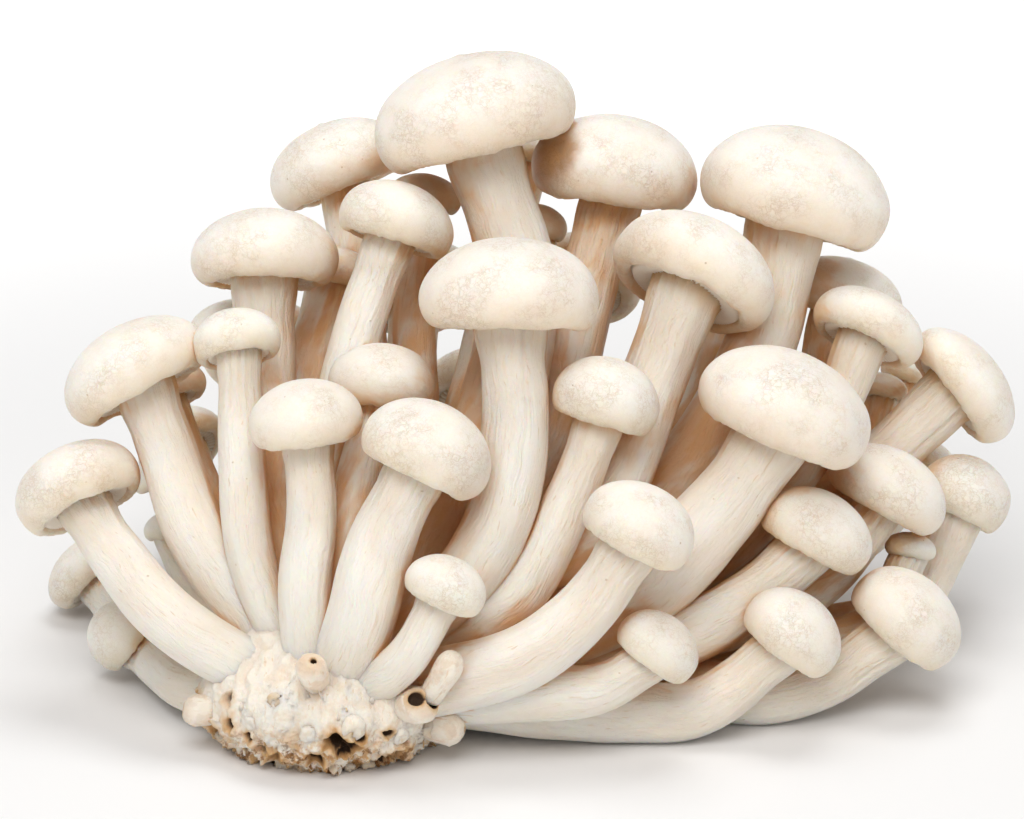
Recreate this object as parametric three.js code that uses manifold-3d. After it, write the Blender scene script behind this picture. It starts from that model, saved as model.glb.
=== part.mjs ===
// A cluster of white beech mushrooms, picked whole and lying on a table.
//
// Every mushroom is one fruiting body that grew in one piece: a curved stem and a domed cap with a
// rolled-in margin and a hollow underside. All the stems fan out of one knobbly root base, and a
// few stunted buds sit on that base. Each fruiting body, each bud and the base is its own solid.
//
// The fan is laid out in an upright frame of its own, in millimetres:
//   x runs across the fan, y runs towards its back, z runs up its face.
// The whole fan then leans back onto the table, so that it rests on its base, its lowest stems and
// its rear caps. The part's frame has +Z up and its origin at the bottom centre of the cluster.

import * as THREE from "three";
import { mergeVertices } from "three/addons/utils/BufferGeometryUtils.js";
import Module from "manifold-3d";

// Driving dimensions, in millimetres and degrees.
const LEAN = 20; // how far the fan leans back from upright
const FAN_ORIGIN = new THREE.Vector3(-1.6, -3.4, 32.1); // where the fan frame starts
const GAP = 0.3; // clear space between neighbours, which only touch
const SIDES = 10; // facets round a large mushroom
const SMALL_SIDES = 8; // facets round a small one
const SMALL_CAP = 7; // a cap under this radius counts as small
const STEPS = 24; // frames worked out along each stem
const NEAR = 0.01; // lengths this close are the same

// The cap's outline from the margin to the crown, as shares of its radius and height.
const MARGIN_LIP = [0.8, 0];
const MARGIN_ROUND = [0.95, 0.1];
const WIDEST = 0.33;
const STUNTED_WIDEST = 0.15; // the same for a bud's blunt head
const CROWN_ANGLES = [0, 32, 60];
const NECK_RISE = 0.16; // how far the stem runs up into the cap's hollow
const STEM_STEPS = [0, 6, 12, 17, 22]; // frames along the stem that carry a ring
const BELLY = 0.4; // where along the stem its middle girth is given

// The root base: a squat mound round the feet of all the stems.
const BASE_CENTRE = new THREE.Vector3(-21.5, -14, -33.4);
const BASE_RADII = new THREE.Vector3(14.8, 15.5, 9.4);
const BASE_RINGS = 14;
const BASE_SIDES = 26;
const BASE_KNOB = 0.9; // how far its knobs stand out

const radians = THREE.MathUtils.degToRad;

// One mushroom: the points its stem passes through from the foot to the middle of the cap's rim,
// the stem's radius at the foot, the belly and the neck, the cap's radius and height, and the way
// the cap faces: roll tips it to the right, nod tips it to the front.
function mushroom(name, stem, girth, [capRadius, capHeight], roll, nod) {
  const sides = capRadius < SMALL_CAP ? SMALL_SIDES : SIDES;
  return { name, stem, girth, capRadius, capHeight, roll, nod, sides };
}

// Listed from the front of the fan to its back, because each one gives way to those before it.
const MUSHROOMS = [
  // The short ones along the front.
  mushroom("front_mushroom_1", [[-17.5, -22, -33], [-11.8, -29, -28.2], [-8.4, -29, -22.2]],
    [2.4, 2.5, 2.1], [4.8, 5.6], 24, 8),
  mushroom("front_mushroom_2", [[-20, -21.5, -31.5], [-17.3, -26, -24], [-14.9, -25, -15], [-11.3, -24, -7.8]],
    [3.5, 4, 3.1], [7.7, 9.2], 26, 1),
  mushroom("front_mushroom_3", [[-23.5, -20.5, -31], [-24, -23, -21], [-23.3, -21, -12], [-23.8, -20, -3.8]],
    [3, 3.1, 2.6], [6.7, 7.4], -7, 8),
  mushroom("front_mushroom_4", [[-14, -19, -33], [1, -26, -28.8], [8.3, -26, -23.3], [13.5, -26, -16.1]],
    [4, 3.9, 3], [6.7, 7.9], 27, 8),
  mushroom("front_mushroom_5", [[-14, -16.5, -31.5], [1, -18, -21.5], [7, -16, -10], [10.2, -15, -1.6]],
    [2.6, 3.1, 2.5], [6.4, 7.9], 17, 4),
  mushroom("front_mushroom_6", [[-20.5, -20, -30], [-19.5, -17, -16], [-17.6, -12, -6], [-15.6, -9, 1]],
    [2.2, 2.6, 2.4], [6.4, 6.9], 4, 7),
  mushroom("front_bud_1", [[-9.5, -27, -33], [-7.3, -29.5, -29.8]], [1.4, 1.7, 1.4], [1.7, 2.3], 20, 20),
  mushroom("front_bud_2", [[-13, -22, -34], [-10.6, -27.5, -34]], [2, 2.2, 1.8], [2.2, 1.9], 25, 60),
  mushroom("front_bud_3", [[-12, -17, -35.5], [-7.6, -21, -37]], [2, 2.2, 1.7], [2.1, 2.2], 80, 35),
  mushroom("front_bud_4", [[-22.5, -25, -31.5], [-23, -29.2, -29.8]], [1.7, 1.8, 1.5], [1.8, 1.7], -5, 50),
  mushroom("front_bud_5", [[-32, -17, -34.5], [-36.6, -19, -35.2]], [1.8, 1.9, 1.6], [1.9, 1.9], -80, 30),

  // The left side, which spreads low over the table.
  mushroom("left_mushroom_1", [[-28, -18.5, -32], [-39.6, -19, -24.8], [-46, -14, -18], [-50.3, -10, -12]],
    [3.2, 3.5, 2.8], [7.8, 8.2], -26, -14),
  mushroom("left_mushroom_2", [[-26, -17, -29.5], [-30.4, -17, -18], [-31.9, -13, -5], [-32.3, -11, 6]],
    [2.3, 2.9, 2.2], [5.3, 6], -9, -16),
  mushroom("left_mushroom_3", [[-27, -15, -29.5], [-37, -13, -15], [-40.6, -9, -6], [-43.4, -7, 1.8]],
    [3, 3.6, 3.2], [9.1, 8.9], -30, -4),
  mushroom("left_mushroom_4", [[-31, -18, -34], [-37.9, -10, -33.2], [-45.3, 2, -28.7]],
    [2.6, 2.8, 2.4], [4.4, 6.5], -52, 4),
  mushroom("left_mushroom_5", [[-31, -16, -32], [-39, -5, -30.8], [-46.6, 9, -26.6], [-51.8, 22, -21.6]],
    [2.2, 2.6, 2.4], [5.6, 5.6], -45, -10),
  mushroom("left_mushroom_6", [[-27, -10, -30], [-36, 2, -25], [-40.5, 10, -19], [-41.8, 12, -15.8]],
    [1.8, 2, 1.8], [3.3, 3.4], -8, -2),

  // The right side, whose lowest stems run along the table before they turn up.
  mushroom("right_mushroom_1", [[-13, -17.5, -34], [3, -22, -33], [10, -22, -32.4], [15.7, -22, -29.2]],
    [2.8, 3.3, 2.4], [5.1, 6], 36, 10),
  mushroom("right_mushroom_2", [[-12.5, -15, -33.5], [12, -14.5, -35.4], [22, -14.5, -35], [31.3, -16, -28.3]],
    [3, 3.8, 2.6], [6.2, 7.5], 37, 10),
  mushroom("right_mushroom_3",
    [[-12.5, -10, -32], [16, -7, -32.6], [30, -9, -33.9], [37, -8, -32.2], [45.1, -7, -27]],
    [2.8, 3.6, 2.8], [7.2, 8.2], 40, 13),
  mushroom("right_mushroom_4", [[-13, -13.5, -33.5], [18, -12.5, -27.6], [28, -11, -22.5], [34.8, -10, -16.8]],
    [3, 3.7, 2.9], [6.9, 7.6], 29, 5),
  mushroom("right_mushroom_5", [[-13.5, -15, -31.5], [12, -14, -23.5], [24, -12, -12.7], [30.9, -11, -3.5]],
    [3.6, 4.8, 4.1], [10.6, 10.8], 23, 8),
  mushroom("right_mushroom_6", [[-13, -13, -32], [25, -6, -26], [38, -2, -20], [44, 0, -12.1]],
    [2.6, 3, 2.6], [7.5, 7.8], 29, 5),
  mushroom("right_mushroom_7", [[-13.5, -12.5, -31], [24, -2, -18], [38, 3, -2], [42.2, 4, 7.8]],
    [2.4, 2.9, 2.6], [7.1, 6.8], 25, -15),
  mushroom("right_mushroom_8", [[-13.5, -11.5, -31.5], [25, 6, -19.5], [43, 9, -8], [53.3, 11, 1.4]],
    [2.6, 3.4, 3.2], [8.1, 7.4], 52, -6),
  mushroom("right_mushroom_9", [[-13, -11.5, -33], [28, 5, -28.4], [48.2, 8, -24], [54.2, 10, -13.2]],
    [2.6, 3.2, 2.9], [5.8, 7.9], 25, -3),

  // The tall ones that make the crown of the fan.
  mushroom("crown_mushroom_1", [[-16, -17.5, -30.5], [-3, -19, -16], [0.3, -16, -3], [-0.3, -14, 9.5]],
    [3.2, 4, 3.7], [10.7, 10.8], 0, 1),
  mushroom("crown_mushroom_2", [[-14.5, -14.5, -30.5], [9, -11, -14], [16.5, -5, 2.5], [20.5, -3, 13.3]],
    [3, 3.9, 3.7], [10.2, 10], 25, -18),
  mushroom("crown_mushroom_3", [[-25, -15, -28], [-28.5, -6, -8], [-29.7, 0, 5], [-29.9, 2, 15.2]],
    [2.6, 3.5, 3.4], [8.9, 9.2], 0, -6),
  mushroom("crown_mushroom_4", [[-22, -16, -28], [-22, -10, -8], [-18.4, -4, 9.5], [-14.7, 0, 20]],
    [2.4, 3, 2.6], [7.1, 7.6], 17, -4),
  mushroom("crown_mushroom_5", [[-17.5, -13, -29], [-5, -5, -8], [0.8, 3, 14], [-3.6, 6, 31.2]],
    [3.4, 4.8, 4], [12.8, 12.2], -14, 4),
  mushroom("crown_mushroom_6", [[-14, -12.5, -30.5], [17, 1, -12], [29.5, 5, 6], [33.3, 8, 22]],
    [3.2, 4.3, 4.1], [11.8, 12.7], 17, 3),
  mushroom("crown_mushroom_7", [[-16.5, -12, -29.5], [4, 4, -5], [8.4, 9, 12], [12.1, 13, 25.5]],
    [2.8, 3.7, 3.3], [10.3, 10.9], 8, 5),
  mushroom("crown_mushroom_8", [[-20.5, -11, -28.5], [-17.5, 4, -5], [-18.8, 14, 12], [-20.6, 20, 27.3]],
    [2.6, 3.1, 2.8], [8.8, 8.8], -22, 0),

  // The small and half-hidden ones between the crown and the back.
  mushroom("middle_mushroom_1", [[-25, -10.5, -29], [-34, -2, -17], [-39, 7, -7], [-42.5, 11, 0.5]],
    [2.2, 2.6, 2.4], [5.8, 5.2], -20, -12),
  mushroom("middle_mushroom_2", [[-25, -8.5, -29.5], [-33, 6, -20], [-39, 17, -13], [-42.4, 20, -9.5]],
    [2, 2.3, 2], [4.8, 4.4], -15, 0),
  mushroom("middle_mushroom_3", [[-23.5, -10.5, -28.5], [-30, 0, -12], [-33, 10, 0], [-34.2, 13, 9]],
    [2.2, 2.7, 2.4], [5.3, 4.6], -12, -4),
  mushroom("middle_mushroom_4", [[-21.5, -11, -28.5], [-25.5, 1, -8], [-24.5, 10, 6], [-22, 14, 15.5]],
    [2.4, 3, 2.7], [4.8, 4.6], 10, 0),
  mushroom("middle_mushroom_5", [[-19.5, -11, -28.5], [-12, 3, -5], [-12, 11, 12], [-11, 15, 24.6]],
    [2.2, 2.7, 2.3], [4.6, 4.6], 8, 0),
  mushroom("middle_mushroom_6", [[-18.5, -10, -29], [-7, 8, -4], [-2, 19, 14], [2, 24, 31]],
    [2, 2.6, 2.3], [4.2, 4], 0, 0),
  mushroom("middle_mushroom_7", [[-17, -10.5, -29.5], [-2, 4, -8], [2, 13, 8], [3, 17, 21.5]],
    [2, 2.4, 2.1], [3.6, 4], 15, 0),
  mushroom("middle_mushroom_8", [[-14, -11, -31], [20, 9, -16], [36, 17, -2], [40.3, 19, 11.8]],
    [2.6, 3.2, 2.9], [7.6, 7.2], 14, 2),
  mushroom("middle_mushroom_9", [[-13.5, -10.5, -32], [24, 6, -22], [42, 15, -9], [45.3, 17, 1.2]],
    [1.8, 2.2, 1.9], [3.6, 3.4], 5, -10),
  mushroom("middle_mushroom_10", [[-14, -10, -32], [24, 9, -20], [43, 20, -8], [49.2, 24, 3.6]],
    [1.8, 2.1, 1.8], [3.4, 3.3], 18, 0),
  mushroom("middle_mushroom_11", [[-13.5, -10, -32.5], [26, 9, -25], [46, 20, -15], [51.5, 24, -7.2]],
    [1.8, 2.1, 1.8], [3.6, 3.6], 25, 0),
  mushroom("middle_mushroom_12", [[-13, -12, -33], [28, -2, -29.5], [44, 1, -25], [48, 2, -17.8]],
    [1.8, 2.2, 1.9], [3.1, 3], 10, 0),

  // The back of the fan, whose lowest caps reach the table.
  mushroom("rear_mushroom_1", [[-22.5, -9, -29], [-27, 6, -12], [-30, 18, -3], [-31, 27, 6]],
    [2.2, 2.8, 2.5], [7.6, 7.2], -15, -35),
  mushroom("rear_mushroom_2", [[-19.5, -9.5, -29], [-15, 8, -8], [-13, 20, 3], [-12, 29, 13]],
    [2.4, 3.1, 2.8], [8.6, 8], -5, -30),
  mushroom("rear_mushroom_3", [[-17, -9.5, -30], [0, 9, -9], [6, 21, 3], [8, 30, 14]],
    [2.4, 3, 2.8], [8.4, 7.8], 6, -30),
  mushroom("rear_mushroom_4", [[-15, -10.5, -30.5], [12, 6, -13], [24, 17, 0], [27, 24, 12]],
    [2.4, 3.2, 2.9], [8.6, 8], 18, -24),
  mushroom("rear_mushroom_5", [[-24.5, -7.5, -30], [-33, 13, -21], [-38, 25, -13], [-41, 33, -6]],
    [2, 2.6, 2.3], [6, 5.8], -35, -35),
  mushroom("rear_mushroom_6", [[-21.5, -7.5, -29.5], [-23, 12, -18], [-24, 26, -10], [-24, 37, -5]],
    [2.2, 3, 2.7], [7.6, 7], -12, -55),
  mushroom("rear_mushroom_7", [[-19, -8, -30], [-11, 14, -15], [-6, 30, -6], [-4, 42, -1]],
    [2.4, 3.2, 2.9], [8.6, 8], 0, -55),
  mushroom("rear_mushroom_8", [[-16, -9, -30.5], [3, 13, -17], [12, 27, -9], [16, 38, -3]],
    [2.3, 3, 2.8], [8, 7.4], 12, -52),
  mushroom("rear_mushroom_9", [[-14.5, -9.5, -31.5], [14, 11, -20], [28, 24, -12], [34, 33, -6]],
    [2.2, 2.9, 2.6], [7, 6.6], 25, -40),
  mushroom("rear_mushroom_10", [[-27, -6, -31], [-31, 8, -25], [-33, 18, -21], [-34, 25, -17]],
    [2, 2.4, 2.2], [5.6, 5.4], -35, -45),
  mushroom("rear_mushroom_11", [[-20, -6.5, -30.5], [-17, 12, -23], [-14, 28, -18], [-13, 38, -14.5]],
    [2, 2.5, 2.3], [6, 5.8], -5, -60),
  mushroom("rear_mushroom_12", [[-15.5, -8.5, -31.5], [0, 10, -24.5], [6, 24, -20], [9, 35, -16]],
    [2, 2.6, 2.3], [6, 5.8], 12, -55),
  mushroom("rear_mushroom_13", [[-13.5, -10, -32.5], [12, 6, -26], [24, 17, -22.5], [29, 24, -19.5]],
    [2, 2.6, 2.3], [6, 5.8], 35, -30),
];

// The finish of each kind of piece.
const FLESH = { color: 0xf1e6d6, roughness: 0.55, metalness: 0 };
const ROOT = { color: 0xe2d2bb, roughness: 0.8, metalness: 0 };

// The way a cap faces, in the fan frame.
function facing(roll, nod) {
  const side = radians(roll);
  const front = radians(nod);
  return new THREE.Vector3(
    Math.sin(side), -Math.sin(front) * Math.cos(side), Math.cos(front) * Math.cos(side));
}

// The stem's radius at a share of its length, through the three girths.
function stemRadius([foot, belly, neck], share) {
  const rise = (belly - foot) / BELLY;
  const bend = (neck - foot - rise) / (1 - BELLY);
  return foot + (rise - bend * BELLY) * share + bend * share * share;
}

// The outline that is turned into one straight mushroom, from the foot to the crown. Heights up to
// `length` are along the stem, and heights from there on are above the cap's rim. Fullness widens
// the faceted body until it holds as much as a round one, and swell makes every wall stand out.
// A stunted bud has a blunt head with no rim.
function outline(plan, length, swell) {
  const { girth, capRadius, capHeight, sides } = plan;
  const fullness = Math.sqrt((2 * Math.PI) / (sides * Math.sin((2 * Math.PI) / sides)));
  const radius = capRadius * fullness + swell;
  const height = capHeight + 2 * swell;
  const points = [new THREE.Vector2(0, 0)];
  for (const step of STEM_STEPS) {
    const share = step / STEPS;
    points.push(new THREE.Vector2(stemRadius(girth, share) * fullness + swell, share * length));
  }
  const stunted = MARGIN_LIP[0] * capRadius < girth[2];
  if (!stunted) {
    points.push(new THREE.Vector2(girth[2] * fullness + swell, length + NECK_RISE * capHeight));
    for (const [wide, high] of [MARGIN_LIP, MARGIN_ROUND]) {
      points.push(new THREE.Vector2(wide * radius, length + high * height));
    }
  }
  const widest = stunted ? STUNTED_WIDEST : WIDEST;
  for (const degrees of CROWN_ANGLES) {
    const angle = radians(degrees);
    const rise = widest + (1 - widest) * Math.sin(angle);
    points.push(new THREE.Vector2(radius * Math.cos(angle), length + rise * height));
  }
  points.push(new THREE.Vector2(0, length + height));
  return points;
}

// One mushroom's geometry in the fan frame: a straight turned body whose stem is then bent along
// its curve and whose cap is turned to face its own way.
function mushroomGeometry(plan, swell) {
  const route = new THREE.CatmullRomCurve3(plan.stem.map((p) => new THREE.Vector3(...p)));
  const length = route.getLength();
  const frames = route.computeFrenetFrames(STEPS, false);
  const end = route.getPoint(1);
  const axis = facing(plan.roll, plan.nod);
  const turn = new THREE.Quaternion().setFromUnitVectors(frames.tangents[STEPS], axis);
  const capAcross = frames.normals[STEPS].clone().applyQuaternion(turn);
  const capAside = frames.binormals[STEPS].clone().applyQuaternion(turn);
  const body = new THREE.LatheGeometry(outline(plan, length, swell), plan.sides);
  const places = body.getAttribute("position");
  const straight = new THREE.Vector3();
  for (let i = 0; i < places.count; i++) {
    straight.fromBufferAttribute(places, i);
    const inCap = straight.y > length - NEAR;
    const step = inCap ? STEPS : Math.round((straight.y / length) * STEPS);
    const across = inCap ? capAcross : frames.normals[step];
    const aside = inCap ? capAside : frames.binormals[step];
    const place = inCap ? end.clone() : route.getPointAt(step / STEPS);
    if (inCap) place.addScaledVector(axis, straight.y - length - swell);
    place.addScaledVector(across, straight.x).addScaledVector(aside, -straight.z);
    places.setXYZ(i, place.x, place.y, place.z);
  }
  return body;
}

// The root base's geometry: a squat ball whose skin is raised into knobs by three crossed waves.
function baseGeometry(swell) {
  const ball = new THREE.SphereGeometry(1, BASE_SIDES, BASE_RINGS);
  ball.rotateX(Math.PI / 2);
  const places = ball.getAttribute("position");
  const way = new THREE.Vector3();
  for (let i = 0; i < places.count; i++) {
    way.fromBufferAttribute(places, i);
    const knob = BASE_KNOB * Math.sin(11 * way.x + 1) * Math.sin(9 * way.y) * Math.sin(13 * way.z + 2);
    const radii = BASE_RADII.clone().addScalar(knob + swell);
    const place = way.multiply(radii).add(BASE_CENTRE);
    places.setXYZ(i, place.x, place.y, place.z);
  }
  return ball;
}

const wasm = await Module();
wasm.setup();

// A geometry as a manifold-3d solid, without the flat triangles at its poles.
function solidOf(geometry) {
  const bare = geometry.clone();
  for (const name of ["normal", "uv"]) bare.deleteAttribute(name);
  const merged = mergeVertices(bare, 1e-4);
  const corners = merged.index.array;
  const kept = [];
  for (let i = 0; i < corners.length; i += 3) {
    const [a, b, c] = corners.subarray(i, i + 3);
    if (a !== b && b !== c && a !== c) kept.push(a, b, c);
  }
  const vertProperties = merged.getAttribute("position").array;
  const triVerts = new Uint32Array(kept);
  return new wasm.Manifold(new wasm.Mesh({ numProp: 3, vertProperties, triVerts }));
}

// A manifold-3d solid as a geometry.
function geometryOf(solid) {
  const mesh = solid.getMesh();
  const places = new Float32Array(mesh.numVert * 3);
  for (let i = 0; i < mesh.numVert; i++) {
    places.set(mesh.vertProperties.subarray(i * mesh.numProp, i * mesh.numProp + 3), i * 3);
  }
  const geometry = new THREE.BufferGeometry();
  geometry.setAttribute("position", new THREE.BufferAttribute(places, 3));
  geometry.setIndex(new THREE.BufferAttribute(mesh.triVerts, 1));
  geometry.computeVertexNormals();
  return geometry;
}

// The biggest of the separate bodies that a cut leaves.
function biggestBody(solid) {
  return solid.decompose().reduce((best, one) => (one.volume() > best.volume() ? one : best));
}

function boxesMeet(a, b) {
  const first = a.boundingBox();
  const second = b.boundingBox();
  return [0, 1, 2].every((k) => first.min[k] <= second.max[k] && second.min[k] <= first.max[k]);
}

// Everything under the table top, as a solid in the fan frame.
function tableSolid() {
  const slab = new THREE.BoxGeometry(400, 400, 60);
  slab.translate(0, 0, -30);
  slab.translate(-FAN_ORIGIN.x, -FAN_ORIGIN.y, -FAN_ORIGIN.z);
  slab.rotateX(radians(LEAN));
  return solidOf(slab);
}

function meshOf(name, solid, finish) {
  const mesh = new THREE.Mesh(geometryOf(solid), new THREE.MeshStandardMaterial(finish));
  mesh.name = name;
  return mesh;
}

// The fan, from the base outwards: each solid is cut back from those already in place.
function buildFan() {
  const fan = new THREE.Group();
  const table = tableSolid();
  fan.add(meshOf("root_base", biggestBody(solidOf(baseGeometry(0)).subtract(table)), ROOT));
  const taken = [solidOf(baseGeometry(GAP)), table];
  for (const plan of MUSHROOMS) {
    let solid = solidOf(mushroomGeometry(plan, 0));
    for (const other of taken) {
      if (boxesMeet(solid, other)) solid = solid.subtract(other);
    }
    fan.add(meshOf(plan.name, biggestBody(solid), FLESH));
    taken.push(solidOf(mushroomGeometry(plan, GAP)));
  }
  return fan;
}

const fan = buildFan();
fan.rotation.x = -radians(LEAN);
fan.position.copy(FAN_ORIGIN);

const cluster = new THREE.Group();
cluster.add(fan);

// The bottom centre of the whole cluster comes to the origin.
const bounds = new THREE.Box3().setFromObject(cluster, true);
const middle = bounds.getCenter(new THREE.Vector3());
fan.position.sub(new THREE.Vector3(middle.x, middle.y, bounds.min.z));

export default cluster;
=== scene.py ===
"""The looks of a white beech mushroom cluster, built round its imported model.

Every fruiting body is one piece: a domed cap with a rolled-in margin, gills in the cap's hollow and
a curved, fibrous stem. The root base is one piece with its flakes, pits and nodules. Places are
given in millimetres in the fan's own frame, and all meshes end up in metres in the part's frame.
"""

import logging
import math
import random
from dataclasses import dataclass
from enum import Enum, IntEnum
from typing import Iterable, Sequence

import bmesh
import bpy
from mathutils import Matrix, Quaternion, Vector, noise
from mathutils.bvhtree import BVHTree


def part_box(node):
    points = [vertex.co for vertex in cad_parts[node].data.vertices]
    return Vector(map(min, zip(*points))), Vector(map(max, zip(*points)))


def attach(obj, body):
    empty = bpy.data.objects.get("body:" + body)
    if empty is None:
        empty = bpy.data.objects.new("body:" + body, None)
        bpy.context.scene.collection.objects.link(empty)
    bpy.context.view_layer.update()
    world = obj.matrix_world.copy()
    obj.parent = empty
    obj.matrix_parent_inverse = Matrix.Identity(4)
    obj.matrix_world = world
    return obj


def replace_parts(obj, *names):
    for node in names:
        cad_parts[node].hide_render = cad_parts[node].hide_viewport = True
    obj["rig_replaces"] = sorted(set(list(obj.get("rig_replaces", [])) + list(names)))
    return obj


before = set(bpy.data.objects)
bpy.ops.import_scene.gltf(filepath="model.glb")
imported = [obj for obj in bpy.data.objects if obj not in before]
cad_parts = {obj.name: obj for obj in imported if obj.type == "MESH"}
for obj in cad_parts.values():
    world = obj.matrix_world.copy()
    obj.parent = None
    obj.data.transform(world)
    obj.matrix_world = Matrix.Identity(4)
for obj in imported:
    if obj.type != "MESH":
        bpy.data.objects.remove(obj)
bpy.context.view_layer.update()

LOG = logging.getLogger("mushroom_cluster")
MM = 0.001
BODY = "root"
TABLE_CLEARANCE = 0.03

Point = tuple[float, float, float]
Colour = tuple[float, float, float, float]


class Tissue(IntEnum):
    """The finishes of one fruiting body, in the order of its material slots."""

    SKIN = 0
    GILLS = 1
    STEM = 2


class Surface(Enum):
    """The names of the values that each vertex carries for its finish."""

    GRAIN = "grain"
    # The cap's lower margin and the stem's neck, where shade is painted; on the root base, its
    # ragged lower band.
    RIM = "rim"
    STAIN = "stain"
    # Gill valleys and the root's crevices take painted shade here; the root's pits, dimples and
    # holes are dark too.
    HOLLOW = "hollow"
    # How closely neighbours crowd round each place: the mask of the painted shade.
    BURIED = "crowd_shade"


def smooth(value: float, low: float, high: float) -> float:
    """Eases from 0 at low to 1 at high.

    Args:
        value: The value to ease.
        low: Where the step starts.
        high: Where the step ends.

    Returns:
        A share from 0 to 1.
    """
    share = min(1.0, max(0.0, (value - low) / (high - low)))
    return share * share * (3 - 2 * share)


def leaning(roll: float, nod: float) -> Vector:
    """The way that a cap faces in the fan frame.

    Args:
        roll: How far it tips to the right, in degrees.
        nod: How far it tips to the front, in degrees.

    Returns:
        The unit vector along the cap's axis.
    """
    side, front = math.radians(roll), math.radians(nod)
    return Vector((math.sin(side), -math.sin(front) * math.cos(side),
                   math.cos(front) * math.cos(side)))


@dataclass(frozen=True)
class FanFrame:
    """The fan's own upright frame, which leans back onto the table.

    Attributes:
        origin: Where the fan frame starts in the part's frame, in millimetres.
        lean: How far the fan leans back from upright, in degrees.
    """

    origin: Point = (-1.5115, -3.7616, 32.1006)
    lean: float = 20.0

    @property
    def turn(self) -> Matrix:
        """The rotation from the fan frame to the part's frame."""
        return Matrix.Rotation(math.radians(-self.lean), 3, "X")

    def place(self, point: Vector) -> Vector:
        """A point of the fan, in metres in the part's frame."""
        return (self.turn @ point + Vector(self.origin)) * MM

    def settle(self, vertices: Iterable[bmesh.types.BMVert]) -> None:
        """Moves vertices from the fan frame to the part's frame, and flattens them on the table.

        Args:
            vertices: The vertices, in millimetres in the fan frame.
        """
        turn = self.turn
        origin = Vector(self.origin)
        for vertex in vertices:
            point = turn @ vertex.co + origin
            point.z = max(point.z, TABLE_CLEARANCE)
            vertex.co = point * MM


FAN = FanFrame()


class Socket:
    """One output of a node, with the operators of plain numbers."""

    def __init__(self, recipe: "Recipe", link: bpy.types.NodeSocket) -> None:
        """Wraps an output.

        Args:
            recipe: The material's recipe that the node belongs to.
            link: The output socket.
        """
        self.recipe = recipe
        self.link = link

    def math(self, operation: str, *values: "Socket | float") -> "Socket":
        """A Math node on the given values, in order."""
        return self.recipe.node("ShaderNodeMath", {"operation": operation}, dict(enumerate(values)))

    def __add__(self, other: "Socket | float") -> "Socket":
        """This plus other."""
        return self.math("ADD", self, other)

    def __radd__(self, other: float) -> "Socket":
        """Other plus this."""
        return self.math("ADD", other, self)

    def __sub__(self, other: "Socket | float") -> "Socket":
        """This minus other."""
        return self.math("SUBTRACT", self, other)

    def __rsub__(self, other: float) -> "Socket":
        """Other minus this."""
        return self.math("SUBTRACT", other, self)

    def __mul__(self, other: "Socket | float") -> "Socket":
        """This times other."""
        return self.math("MULTIPLY", self, other)

    def __rmul__(self, other: float) -> "Socket":
        """Other times this."""
        return self.math("MULTIPLY", other, self)

    def most(self, other: "Socket | float") -> "Socket":
        """The larger of this and other."""
        return self.math("MAXIMUM", self, other)

    def eased(self, low: float, high: float) -> "Socket":
        """Eases from 0 where this is low to 1 where it is high."""
        return self.recipe.node(
            "ShaderNodeMapRange", {"interpolation_type": "SMOOTHSTEP"},
            {"Value": self, "From Min": low, "From Max": high})


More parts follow.
